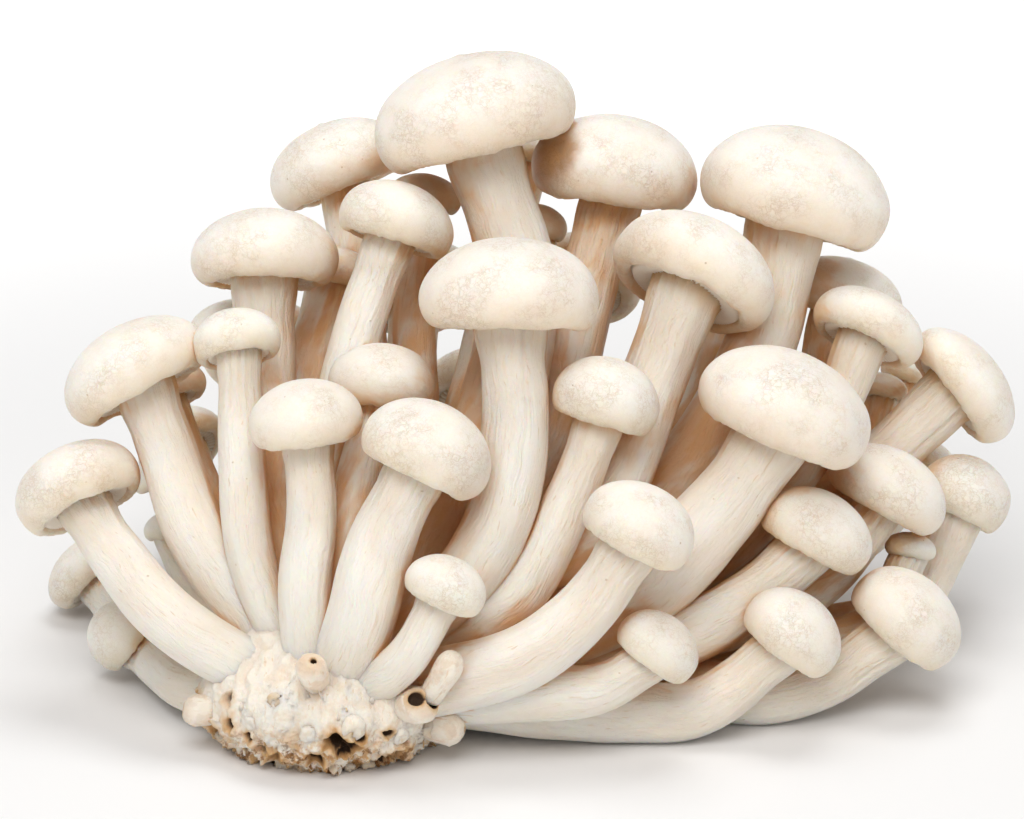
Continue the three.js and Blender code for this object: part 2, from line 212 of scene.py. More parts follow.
class Recipe:
    """The node tree of one finish."""

    def __init__(self, name: str) -> None:
        """Starts an empty material.

        Args:
            name: The material's name.
        """
        self.material = bpy.data.materials.new(name)
        self.material.use_nodes = True
        self.tree = self.material.node_tree
        self.tree.nodes.clear()

    def node(self, kind: str, settings: dict[str, object], sockets: dict[str | int, object],
             output: str | int | None = 0) -> Socket | None:
        """Adds a node.

        Args:
            kind: The node's type.
            settings: What is set on the node first.
            sockets: The value or the link of each input.
            output: Which output is returned, or None for a node that has none.

        Returns:
            The chosen output.
        """
        made = self.tree.nodes.new(kind)
        for key, value in settings.items():
            setattr(made, key, value)
        for key, value in sockets.items():
            if isinstance(value, Socket):
                self.tree.links.new(value.link, made.inputs[key])
            else:
                made.inputs[key].default_value = value
        return None if output is None else Socket(self, made.outputs[output])

    def carried(self, surface: Surface, output: str = "Fac") -> Socket:
        """A value that the piece's own vertices carry."""
        return self.node("ShaderNodeAttribute", {"attribute_name": surface.value}, {}, output)

    def stretched(self, vector: Socket, scale: Point) -> Socket:
        """A vector scaled along its three axes."""
        return self.node("ShaderNodeVectorMath", {"operation": "MULTIPLY"}, {0: vector, 1: scale})

    def moved(self, vector: Socket, colour: Socket, reach: float) -> Socket:
        """A vector pushed about by a colour, by up to half of reach."""
        centred = self.node("ShaderNodeVectorMath", {"operation": "SUBTRACT"},
                            {0: colour, 1: (0.5, 0.5, 0.5)})
        pushed = self.node("ShaderNodeVectorMath", {"operation": "SCALE"},
                           {0: centred, "Scale": reach})
        return self.node("ShaderNodeVectorMath", {"operation": "ADD"}, {0: vector, 1: pushed})

    def noise(self, vector: Socket, scale: float, detail: float = 2.0, rough: float = 0.5,
              output: str = "Fac") -> Socket:
        """A noise on a vector."""
        return self.node("ShaderNodeTexNoise", {"noise_dimensions": "3D"},
                         {"Vector": vector, "Scale": scale, "Detail": detail, "Roughness": rough},
                         output)

    def cells(self, vector: Socket, scale: float, feature: str = "F1",
              output: str = "Distance") -> Socket:
        """A cell pattern on a vector."""
        return self.node("ShaderNodeTexVoronoi", {"feature": feature},
                         {"Vector": vector, "Scale": scale}, output)

    def tinted(self, share: Socket | float, below: Socket | Colour,
               above: Socket | Colour) -> Socket:
        """A mix of two colours, from below where share is 0 to above where it is 1."""
        return self.node("ShaderNodeMix", {"data_type": "RGBA"}, {0: share, 6: below, 7: above}, 2)

    def finish(self, constants: dict[str, object], varying: dict[str, Socket], height: Socket,
               relief: float) -> bpy.types.Material:
        """Ends the recipe with its shader.

        Args:
            constants: The shader's inputs that are the same all over.
            varying: The shader's inputs that change over the surface.
            height: The height of the fine relief, from 0 to 1.
            relief: How tall a height of 1 stands, in millimetres.

        Returns:
            The material.
        """
        normal = self.node("ShaderNodeBump", {}, {"Height": height, "Distance": relief * MM})
        shader = self.node("ShaderNodeBsdfPrincipled", {}, {**constants, **varying,
                                                            "Normal": normal})
        self.node("ShaderNodeOutputMaterial", {}, {"Surface": shader}, None)
        return self.material


@dataclass(frozen=True)
class Flesh:
    """How light goes through and off the flesh, the same for every tissue.

    Attributes:
        depth: How far red, green and blue light spreads under the surface, in millimetres.
        weight: The share of the light that goes under the surface.
        gloss: The strength of the surface's reflections.
    """

    depth: Point = (3.2, 2.0, 1.1)
    weight: float = 0.55
    gloss: float = 0.34

    def constants(self) -> dict[str, object]:
        """The shader inputs of the flesh."""
        return {"Subsurface Weight": self.weight, "Subsurface Radius": self.depth,
                "Subsurface Scale": MM, "Specular IOR Level": self.gloss, "IOR": 1.42}


@dataclass(frozen=True)
class CapSkin:
    """Cream skin with curly hairline cracks and tiny specks, painted shade at its lower margin and
    in crowded places, and painted shadow where a taller cap shades it.
    """

    flesh: Flesh = Flesh()
    cream: Colour = (0.90, 0.82, 0.72, 1)
    white: Colour = (0.95, 0.895, 0.825, 1)
    # The painted shade towards the cap's lower margin.
    rim: Colour = (0.87, 0.70, 0.52, 1)
    crack: Colour = (0.66, 0.48, 0.31, 1)
    speck: Colour = (0.50, 0.33, 0.18, 1)
    # The brown of the painted shadow where a taller cap shades this one.
    shadow_brown: Colour = (0.50, 0.27, 0.12, 1)
    # The brown of the painted shade where neighbours crowd round the cap.
    shade: Colour = (0.80, 0.47, 0.21, 1)

    def material(self) -> bpy.types.Material:
        """Makes the finish.

        Returns:
            The material.
        """
        r = Recipe("cap_skin")
        grain = r.carried(Surface.GRAIN, "Vector")
        rim = r.carried(Surface.RIM)
        stain = r.carried(Surface.STAIN)
        curl = r.moved(grain, r.noise(grain, 0.85, 2.0, 0.6, "Color"), 2.6)
        line = 1 - r.cells(curl, 0.72, "DISTANCE_TO_EDGE").eased(0.0, 0.055)
        fine = r.moved(grain, r.noise(grain, 1.6, 2.0, 0.6, "Color"), 1.5)
        thread = 1 - r.cells(fine, 1.35, "DISTANCE_TO_EDGE").eased(0.0, 0.08)
        patch = r.noise(grain, 0.21, 3.0).eased(0.40, 0.66)
        cracks = (line * (0.15 + patch * 0.7)).most(thread * (0.15 + patch * 0.45))
        cloud = r.noise(grain, 0.13, 3.0).eased(0.34, 0.68)
        mottle = r.noise(grain, 1.1, 3.0).eased(0.35, 0.7)
        seeds = r.cells(grain, 0.42)
        speck = (1 - seeds.eased(0.03, 0.075)) * r.noise(grain, 0.5, 1.0).eased(0.50, 0.58)
        base = r.tinted(cloud * 0.75, self.white, self.cream)
        base = r.tinted(mottle * 0.16, base, self.cream)
        # Painted shade towards the cap's lower margin.
        base = r.tinted(rim * (0.30 + r.noise(grain, 0.5, 3.0) * 0.7), base, self.rim)
        base = r.tinted(cracks * 0.50, base, self.crack)
        base = r.tinted(speck * 0.6, base, self.speck)
        # Painted shadow: brown where a taller cap shades this one.
        smear = (stain * (0.45 + r.noise(grain, 0.45, 3.0, 0.6) * 1.1)).eased(0.2, 0.95)
        base = r.tinted(smear * 0.85, base, self.shadow_brown)
        # Painted shade where neighbours crowd round the cap.
        base = r.tinted(r.carried(Surface.BURIED).eased(0.50, 1.0) * 0.7, base, self.shade)
        height = (1 - cracks * 0.55) * 0.6 + r.noise(grain, 1.3, 4.0, 0.6) * 0.5
        rough = 0.47 + cracks * 0.14 + mottle * 0.05
        return r.finish(self.flesh.constants(), {"Base Color": base, "Roughness": rough},
                        height, 0.22)


@dataclass(frozen=True)
class StemFlesh:
    """White fibrous flesh with fine tan streaks along the stem, glossier than the cap, with painted
    shade under the cap and in crowded places.
    """

    flesh: Flesh = Flesh()
    white: Colour = (0.95, 0.885, 0.805, 1)
    cream: Colour = (0.87, 0.76, 0.63, 1)
    streak: Colour = (0.70, 0.49, 0.30, 1)
    speck: Colour = (0.50, 0.32, 0.16, 1)
    # The warm and the brown of the painted shade where neighbours crowd round the stem.
    warm_shade: Colour = (0.88, 0.68, 0.47, 1)
    shade: Colour = (0.80, 0.42, 0.15, 1)

    def material(self) -> bpy.types.Material:
        """Makes the finish.

        Returns:
            The material.
        """
        r = Recipe("stem_flesh")
        grain = r.carried(Surface.GRAIN, "Vector")
        rim = r.carried(Surface.RIM)
        stain = r.carried(Surface.STAIN)
        sway = r.moved(grain, r.noise(grain, 0.16, 2.0, 0.5, "Color"), 2.2)
        fibre = r.noise(r.stretched(sway, (2.3, 2.3, 0.10)), 1.0, 4.0, 0.65)
        bundle = r.noise(r.stretched(sway, (0.8, 0.8, 0.045)), 1.0, 2.0)
        streak = fibre.eased(0.56, 0.74) * bundle.eased(0.42, 0.66)
        dash = r.noise(r.stretched(sway, (3.4, 3.4, 0.42)), 1.0, 1.0).eased(0.70, 0.78)
        cloud = r.noise(r.stretched(grain, (0.22, 0.22, 0.07)), 1.0, 3.0).eased(0.38, 0.66)
        seeds = r.cells(grain, 0.36)
        speck = (1 - seeds.eased(0.03, 0.08)) * r.noise(grain, 0.4, 1.0).eased(0.52, 0.6)
        base = r.tinted(cloud * 0.65, self.white, self.cream)
        # Painted shade just under the cap: a cream tint, and darker streaks.
        base = r.tinted(rim * 0.75 * (0.35 + fibre), base, self.cream)
        base = r.tinted(streak * (0.42 + rim * 0.40), base, self.streak)
        base = r.tinted(dash * 0.45, base, self.streak)
        base = r.tinted(stain * (0.2 + fibre), base, self.streak)
        base = r.tinted(speck * 0.55, base, self.speck)
        # Painted shade, warm and then brown, where neighbours crowd round the stem.
        deep = r.carried(Surface.BURIED)
        base = r.tinted(deep.eased(0.40, 0.85) * 0.40, base, self.warm_shade)
        base = r.tinted(deep.eased(0.62, 1.0) * 0.80, base, self.shade)
        height = fibre * 0.75 + r.noise(grain, 1.4, 3.0, 0.6) * 0.25
        rough = 0.38 + fibre * 0.16
        return r.finish(self.flesh.constants(), {"Base Color": base, "Roughness": rough},
                        height, 0.60)


@dataclass(frozen=True)
class GillFlesh:
    """Pale cream gills, with painted shade between the blades."""

    flesh: Flesh = Flesh(weight=0.12)
    edge: Colour = (0.97, 0.90, 0.78, 1)
    # The painted shade between the blades.
    between: Colour = (0.70, 0.46, 0.26, 1)

    def material(self) -> bpy.types.Material:
        """Makes the finish.

        Returns:
            The material.
        """
        r = Recipe("gill_flesh")
        grain = r.carried(Surface.GRAIN, "Vector")
        valley = r.carried(Surface.HOLLOW)
        cloud = r.noise(grain, 0.5, 3.0).eased(0.3, 0.7)
        # Painted shade in the valleys between the blades.
        base = r.tinted(valley * 0.8 + cloud * 0.1, self.edge, self.between)
        height = r.noise(grain, 2.2, 2.0)
        rough = 0.5 + cloud * 0.08
        return r.finish(self.flesh.constants(), {"Base Color": base, "Roughness": rough},
                        height, 0.05)


@dataclass(frozen=True)
class RootFlesh:
    """White flaky flesh with tan edges, tan nodules and dark brown pits, and painted shade in its
    crevices.
    """

    flesh: Flesh = Flesh(depth=(2.0, 1.3, 0.8), weight=0.35, gloss=0.3)
    white: Colour = (0.93, 0.845, 0.735, 1)
    tan: Colour = (0.66, 0.39, 0.17, 1)
    brown: Colour = (0.27, 0.125, 0.04, 1)
    dark: Colour = (0.045, 0.022, 0.010, 1)

    def material(self) -> bpy.types.Material:
        """Makes the finish.

        Returns:
            The material.
        """
        r = Recipe("root_flesh")
        grain = r.carried(Surface.GRAIN, "Vector")
        stain = r.carried(Surface.STAIN)
        hollow = r.carried(Surface.HOLLOW)
        low = r.carried(Surface.RIM)
        flaky = r.noise(r.stretched(grain, (0.9, 0.9, 0.35)), 1.0, 5.0, 0.65)
        scab = r.noise(grain, 0.42, 4.0, 0.62)
        streak = r.noise(r.stretched(grain, (1.7, 1.7, 0.30)), 1.0, 3.0, 0.6).eased(0.58, 0.74)
        tan = (scab.eased(0.47, 0.60) * (0.22 + low)).most(streak * 0.6).most(stain * 1.15)
        base = r.tinted(tan * (0.45 + flaky * 0.8), self.white, self.tan)
        brown = (r.noise(grain, 0.7, 4.0, 0.6).eased(0.53, 0.63) * low)
        base = r.tinted(brown.most(stain.eased(0.75, 1.4)), base, self.brown)
        # Near black in the pits, dimples and holes, and as painted shade in the crevices.
        base = r.tinted(hollow.eased(0.08, 0.50), base, self.dark)
        height = flaky * 0.8 + r.noise(grain, 2.4, 3.0, 0.6) * 0.3
        rough = 0.52 + flaky * 0.2
        return r.finish(self.flesh.constants(), {"Base Color": base, "Roughness": rough},
                        height, 0.5)


@dataclass(frozen=True)
class TableTop:
    """A matt white table top that is evenly lit from under its face, as a light table is."""

    white: Colour = (0.88, 0.875, 0.87, 1)
    glow: Colour = (1.0, 0.995, 0.99, 1)
    strength: float = 0.62
    clear_from: float = 0.085
    clear_to: float = 0.34

    def material(self) -> bpy.types.Material:
        """Makes the finish.

        Returns:
            The material.
        """
        r = Recipe("table_top")
        place = r.node("ShaderNodeTexCoord", {}, {}, "Object")
        away = r.node("ShaderNodeVectorMath", {"operation": "LENGTH"}, {0: place}, "Value")
        glow = r.tinted(away.eased(self.clear_from, self.clear_to), (0, 0, 0, 1), self.glow)
        grain = r.noise(place, 900.0, 2.0)
        return r.finish({"Base Color": self.white, "Specular IOR Level": 0.1,
                         "Emission Strength": self.strength},
                        {"Roughness": 0.8 + grain * 0.1, "Emission Color": glow}, grain, 0.01)


class Flow:
    """The curve that a stem follows, with the turn of its cross-section at each point."""

    SAMPLES = 160
    STATIONS = 48
    TURN_FROM = 0.74

    def __init__(self, points: Sequence[Point], facing: Vector) -> None:
        """Works out the curve.

        Args:
            points: What the curve passes through, from the foot to the cap's rim.
            facing: The way that the cap faces at the end.
        """
        self.points = [Vector(p) for p in points]
        self.facing = facing
        line = [self._at(i / self.SAMPLES) for i in range(self.SAMPLES + 1)]
        run = [0.0]
        for a, b in zip(line, line[1:]):
            run.append(run[-1] + (b - a).length)
        self.length = run[-1]
        self.line, self.run = line, run
        self.stations = [self._along(i / self.STATIONS) for i in range(self.STATIONS + 1)]
        self.turns = self._turns()
        self.cap_turn = self.turns[-1]

    def _at(self, share: float) -> Vector:
        """A point of the centripetal curve.

        Args:
            share: How far through the points, from 0 to 1.

        Returns:
            The point.
        """
        points = self.points
        whole = share * (len(points) - 1)
        i = min(int(whole), len(points) - 2)
        t = whole - i
        p1, p2 = points[i], points[i + 1]
        p0 = points[i - 1] if i > 0 else 2 * p1 - p2
        p3 = points[i + 2] if i + 2 < len(points) else 2 * p2 - p1
        d0, d1, d2 = (math.sqrt((b - a).length) for a, b in ((p0, p1), (p1, p2), (p2, p3)))
        m1 = ((p1 - p0) / d0 - (p2 - p0) / (d0 + d1) + (p2 - p1) / d1) * d1
        m2 = ((p2 - p1) / d1 - (p3 - p1) / (d1 + d2) + (p3 - p2) / d2) * d1
        return (p1 + m1 * t + (3 * (p2 - p1) - 2 * m1 - m2) * t * t
                + (2 * (p1 - p2) + m1 + m2) * t ** 3)

    def _along(self, share: float) -> Vector:
        """A point at a share of the curve's length.

        Args:
            share: The share, from 0 to 1.

        Returns:
            The point.
        """
        wanted = share * self.length
        for i in range(1, len(self.run)):
            if self.run[i] >= wanted:
                step = self.run[i] - self.run[i - 1]
                return self.line[i - 1].lerp(self.line[i], (wanted - self.run[i - 1]) / step)
        return self.line[-1]

    def _turns(self) -> list[Quaternion]:
        """The turn of the cross-section at each station, without twist, ending as the cap faces."""
        turns = []
        turn = Quaternion()
        way = Vector((0, 0, 1))
        for i, here in enumerate(self.stations):
            ahead = self.stations[min(i + 1, self.STATIONS)]
            behind = self.stations[max(i - 1, 0)]
            heading = (ahead - behind).normalized()
            turn = way.rotation_difference(heading) @ turn
            way = heading
            turns.append(turn.copy())
        cap = way.rotation_difference(self.facing) @ turn
        for i, turn in enumerate(turns):
            share = smooth(i / self.STATIONS, self.TURN_FROM, 1.0)
            turns[i] = turn.slerp(cap, share)
        return turns

    def frame_at(self, height: float) -> tuple[Vector, Quaternion]:
        """The centre and the turn of the cross-section at a height of the straight body.

        Args:
            height: The height above the foot, in millimetres.

        Returns:
            The centre and the turn.
        """
        if height >= self.length:
            return self.stations[-1] + self.facing * (height - self.length), self.cap_turn
        if height <= 0:
            return self.stations[0] + self.turns[0] @ Vector((0, 0, height)), self.turns[0]
        whole = height / self.length * self.STATIONS
        i = min(int(whole), self.STATIONS - 1)
        share = whole - i
        return (self.stations[i].lerp(self.stations[i + 1], share),
                self.turns[i].slerp(self.turns[i + 1], share))

    def bend(self, shell: Sequence[bmesh.types.BMVert]) -> None:
        """Moves a straight shell to its place along the curve.

        Args:
            shell: The shell's vertices.
        """
        known: dict[float, tuple[Vector, Quaternion]] = {}
        for vertex in shell:
            key = round(vertex.co.z, 2)
            if key not in known:
                known[key] = self.frame_at(key)
            centre, turn = known[key]
            vertex.co = centre + turn @ Vector((vertex.co.x, vertex.co.y, vertex.co.z - key))


class Clay:
    """A mesh in the making, whose vertices carry the values that the finishes read."""

    MERGE = 1e-4
    SECTORS = 8

    def __init__(self, seed: int) -> None:
        """Starts an empty mesh.

        Args:
            seed: What sets this piece's grain apart from that of the others.
        """
        self.bm = bmesh.new()
        layers = self.bm.verts.layers
        self.grain = layers.float_vector.new(Surface.GRAIN.value)
        self.values = {s: layers.float.new(s.value)
                       for s in (Surface.RIM, Surface.STAIN, Surface.HOLLOW, Surface.BURIED)}
        self.offset = Vector((seed * 31.7, seed * 17.3, seed * 23.9))

    def put(self, vertex: bmesh.types.BMVert, surface: Surface, value: float) -> None:
        """Gives a vertex one of its values."""
        vertex[self.values[surface]] = value

    def mark_grain(self, vertices: Iterable[bmesh.types.BMVert]) -> None:
        """Keeps the places of vertices in the straight body for the patterns that follow it."""
        for vertex in vertices:
            vertex[self.grain] = vertex.co + self.offset

    def turned(self, outline: Sequence[tuple[float, float]], steps: int, tissue: int,
               ring: bool = False) -> list[bmesh.types.BMVert]:
        """Turns an outline about the z axis into one closed shell.

        Args:
            outline: The radius and height of each point, in millimetres.
            steps: How many steps go round.
            tissue: The material slot of the shell.
            ring: Whether the outline closes on itself, clear of the axis.

        Returns:
            The shell's vertices.
        """
        shell = bmesh.new()
        points = [shell.verts.new((radius, 0, height)) for radius, height in outline]
        pairs = list(zip(points, points[1:])) + ([(points[-1], points[0])] if ring else [])
        edges = [shell.edges.new(pair) for pair in pairs]
        turn = 2 * math.pi / self.SECTORS
        bmesh.ops.spin(shell, geom=points + edges, cent=(0, 0, 0), axis=(0, 0, 1),
                       dvec=(0, 0, 0), angle=turn, steps=max(1, round(steps / self.SECTORS)),
                       use_merge=False, use_duplicate=False)
        for doubling in range(int(math.log2(self.SECTORS))):
            copy = bmesh.ops.duplicate(shell, geom=shell.verts[:] + shell.edges[:]
                                       + shell.faces[:])
            moved = [g for g in copy["geom"] if isinstance(g, bmesh.types.BMVert)]
            bmesh.ops.rotate(shell, verts=moved, cent=(0, 0, 0),
                             matrix=Matrix.Rotation(turn * 2 ** doubling, 3, "Z"))
        bmesh.ops.remove_doubles(shell, verts=shell.verts[:], dist=self.MERGE)
        bmesh.ops.recalc_face_normals(shell, faces=shell.faces[:])
        for face in shell.faces:
            face.material_index = tissue
            face.smooth = True
        carrier = bpy.data.meshes.new("shell")
        shell.to_mesh(carrier)
        shell.free()
        before = len(self.bm.verts)
        self.bm.from_mesh(carrier)
        bpy.data.meshes.remove(carrier)
        self.bm.verts.ensure_lookup_table()
        return self.bm.verts[before:]

    def piece(self, name: str, materials: Sequence[bpy.types.Material]) -> bpy.types.Object:
        """Ends the mesh as a piece of the cluster.

        Args:
            name: The piece's name, which is its CAD node's as well.
            materials: The piece's finishes, in slot order.

        Returns:
            The object.
        """
        mesh = bpy.data.meshes.new(name + "_look")
        FAN.settle(self.bm.verts)
        self.bm.normal_update()
        self.bm.to_mesh(mesh)
        self.bm.free()
        for material in materials:
            mesh.materials.append(material)
        made = bpy.data.objects.new(name + "_look", mesh)
        bpy.context.scene.collection.objects.link(made)
        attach(made, BODY)
        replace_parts(made, name)
        return made


@dataclass(frozen=True)
class PaintedShadow:
    """A brown painted shadow on a cap, where a taller cap shades it.

    Attributes:
        place: The middle of the smear, in the fan frame.
        reach: How far it spreads.
        depth: How brown it is in the middle, from 0 to 1.
    """

    place: Point
    reach: float
    depth: float = 1.0

    def at(self, point: Vector) -> float:
        """How brown the smear is at a point of the fan."""
        return self.depth * (1 - smooth((point - Vector(self.place)).length, 0, self.reach))


@dataclass(frozen=True)
class Mushroom:
    """One fruiting body: a curved stem, and a domed cap with gills in its hollow.

    Attributes:
        name: The name of its CAD node.
        stem: What the stem passes through, from the foot to the middle of the cap's rim.
        girth: The stem's radius at the foot, the belly and the neck.
        cap: The cap's radius and height.
        roll: How far the cap tips to the right, in degrees.
        nod: How far the cap tips to the front, in degrees.
        painted_shadows: Brown smears on the cap.
        open_gills: Whether the gills show, and so are cut finer.
        frill: How strongly the rim waves and is nicked, as a share.
    """

    name: str
    stem: tuple[Point, ...]
    girth: Point
    cap: tuple[float, float]
    roll: float
    nod: float
    painted_shadows: tuple[PaintedShadow, ...] = ()
    open_gills: bool = False
    frill: float = 1.0

    BELLY = 0.4
    WIDEST = 0.33
    LIP = 0.78
    CAP_RINGS = 22
    RIM_RINGS = 9
    GILL_RINGS = 7
    BLADES_PER_MM = 3.2
    OPEN_BLADES_PER_MM = 4.4

    def stem_radius(self, share: float) -> float:
        """The stem's radius at a share of its length."""
        foot, belly, neck = self.girth
        rise = (belly - foot) / self.BELLY
        bend = (neck - foot - rise) / (1 - self.BELLY)
        return foot + (rise - bend * self.BELLY) * share + bend * share * share

    def _cap(self, clay: Clay, flow: Flow) -> None:
        """Makes the domed cap down to its rolled-in margin.

        Args:
            clay: The mesh in the making.
            flow: The stem's curve.
        """
        radius, height = self.cap
        base, top = flow.length, self.WIDEST * height
        outline = []
        for i in range(self.CAP_RINGS + 1):
            angle = math.pi / 2 * (1 - i / self.CAP_RINGS)
            outline.append((radius * math.cos(angle),
                            base + top + (height - top) * math.sin(angle)))
        for i in range(1, self.RIM_RINGS + 1):
            angle = math.pi / 2 * i / self.RIM_RINGS
            outline.append((radius * (self.LIP + (1 - self.LIP) * math.cos(angle)),
                            base + top * (1 - math.sin(angle))))
        for wide, high in ((0.745, 0.005), (0.715, 0.03), (0.70, 0.075), (0.69, 0.14),
                           (0.60, 0.235), (0.35, 0.28)):
            outline.append((radius * wide, base + height * high))
        outline.append((0.0, base + height * 0.3))
        shell = clay.turned(outline, round(44 + 4.6 * radius), Tissue.SKIN)
        clay.mark_grain(shell)
        offset = clay.offset
        lump, wave = 0.040 * radius, 0.030 * radius * self.frill
        for vertex in shell:
            out, rise = Vector((vertex.co.x, vertex.co.y, 0)), vertex.co.z - base
            share = out.length / radius
            # The mask of the painted shade towards the lower margin.
            rim = (1 - smooth(rise / height, 0.0, 0.55)) * smooth(share, 0.5, 0.9)
            clay.put(vertex, Surface.RIM, rim)
            way = out.normalized() if out.length > 0.01 else Vector((0, 0, 1))
            swell = lump * noise.noise(vertex.co / (radius * 0.95) + offset)
            swell += 0.35 * lump * noise.noise(vertex.co / (radius * 0.38) + offset)
            near_lip = (1 - smooth(rise / height, 0.0, 0.34)) * smooth(share, 0.55, 0.72)
            round_rim = way * 2.1
            ripple = noise.noise(round_rim + offset) + 0.5 * noise.noise(way * 5.5 + offset)
            nick = noise.noise(way * (radius * 1.3) + offset)
            dip = wave * ripple * near_lip + 0.16 * self.frill * near_lip ** 3 * nick
            vertex.co += way * swell + Vector((0, 0, dip)) + way * (dip * 0.5)
        flow.bend(shell)
        # The stain carries the painted shadow of a taller cap.
        for vertex in shell:
            clay.put(vertex, Surface.STAIN, sum(b.at(vertex.co) for b in self.painted_shadows))

    def _gills(self, clay: Clay, flow: Flow) -> None:
        """Makes the ring of gills: blades that hang in the cap's hollow.

        Args:
            clay: The mesh in the making.
            flow: The stem's curve.
        """
        radius, height = self.cap
        base, neck = flow.length, self.girth[2]
        crowd = self.OPEN_BLADES_PER_MM if self.open_gills else self.BLADES_PER_MM
        blades = 2 * round(crowd * radius)
        inner, outer = 0.72 * neck, 0.725 * radius
        steps = [i / self.GILL_RINGS for i in range(self.GILL_RINGS + 1)]
        under = [(outer + (inner - outer) * step,
                  base + height * (0.105 + 0.085 * math.sin(math.pi * 0.5 * step)))
                 for step in steps]
        top = [(inner, base + 0.27 * height), (outer * 0.8, base + 0.262 * height),
               (outer, base + 0.17 * height)]
        shell = clay.turned(under + top, blades * 4, Tissue.GILLS, ring=True)
        clay.mark_grain(shell)
        depth = min(0.95, 0.085 * height)
        for vertex in shell:
            spread = math.hypot(vertex.co.x, vertex.co.y)
            share = (spread - inner) / (outer - inner)
            hanging = vertex.co.z < base + 0.215 * height and share < 0.985
            turn = math.atan2(vertex.co.y, vertex.co.x) / (2 * math.pi) * blades
            blade = int(math.floor(turn + 0.125)) % blades
            within = (turn + 0.125) % 1.0
            is_blade = within < 0.5
            reach = 1.0 if blade % 2 == 0 else smooth(share, 0.35, 0.6)
            fade = smooth(share, 0.0, 0.10) * (1 - smooth(share, 0.9, 1.0))
            drop = depth * fade * reach if (hanging and is_blade) else 0.0
            lift = 0.35 * depth if (hanging and not is_blade) else 0.0
            vertex.co.z += lift - drop
            # The valleys between the blades carry the painted shade.
            clay.put(vertex, Surface.HOLLOW, 0.0 if is_blade and reach > 0.5 else 1.0)
        flow.bend(shell)

    def _stem(self, clay: Clay, flow: Flow) -> None:
        """Makes the stem, which is fluted under the cap and swells at its foot.

        Args:
            clay: The mesh in the making.
            flow: The stem's curve.
        """
        length, height = flow.length, self.cap[1]
        neck = self.girth[2]
        rings = max(22, round(length / 1.15))
        outline = [(0.0, -0.6), (self.girth[0] * 0.6, -0.4)]
        for i in range(rings + 1):
            share = i / rings
            flare = 0.16 * neck * smooth(share, 0.90, 1.0)
            outline.append((self.stem_radius(share) + flare, share * length))
        outline.append((neck * 1.22, length + 0.13 * height))
        outline.append((neck * 0.9, length + 0.24 * height))
        outline.append((0.0, length + 0.26 * height))
        shell = clay.turned(outline, round(26 + 5.2 * self.girth[1]), Tissue.STEM)
        clay.mark_grain(shell)
        offset = clay.offset
        flutes = round(5.2 * neck) + 3
        fine_flutes = int(flutes * 1.7)
        for vertex in shell:
            out = Vector((vertex.co.x, vertex.co.y, 0))
            share = vertex.co.z / length
            # The mask of the painted shade just under the cap.
            near_cap = smooth(share, 0.72, 1.0)
            clay.put(vertex, Surface.RIM, near_cap)
            clay.put(vertex, Surface.STAIN, 0.35 * (1 - smooth(share, 0.0, 0.2)))
            if out.length < 0.01:
                continue
            way = out.normalized()
            angle = math.atan2(way.y, way.x)
            wander = 1.6 * noise.noise(way * 1.4 + offset)
            flute = math.cos(flutes * angle + wander * 2)
            flute += 0.6 * math.cos(fine_flutes * angle + wander * 3)
            long_wave = noise.noise(Vector((way.x * 0.9, way.y * 0.9, vertex.co.z * 0.05)) + offset)
            ribs = noise.noise(Vector((way.x * 2.6, way.y * 2.6, vertex.co.z * 0.035)) + offset)
            lumps = noise.noise(vertex.co * 0.22 + offset)
            swell = out.length * (0.050 * long_wave + 0.045 * ribs + 0.035 * lumps)
            swell += (0.03 + 0.13 * near_cap) * flute
            vertex.co += way * swell
        flow.bend(shell)

    def build(self, seed: int) -> Clay:
        """Makes the fruiting body in the fan frame.

        Args:
            seed: What sets its grain apart.

        Returns:
            The mesh in the making.
        """
        clay = Clay(seed)
        flow = Flow(self.stem, leaning(self.roll, self.nod))
        self._cap(clay, flow)
        self._gills(clay, flow)
        self._stem(clay, flow)
        return clay

    def dress(self, clay: Clay, finishes: Sequence[bpy.types.Material]) -> bpy.types.Object:
        """Ends the fruiting body with its three finishes.

        Args:
            clay: The mesh in the making.
            finishes: The cap's, the gills' and the stem's finish.

        Returns:
            The piece.
        """
        return clay.piece(self.name, finishes)


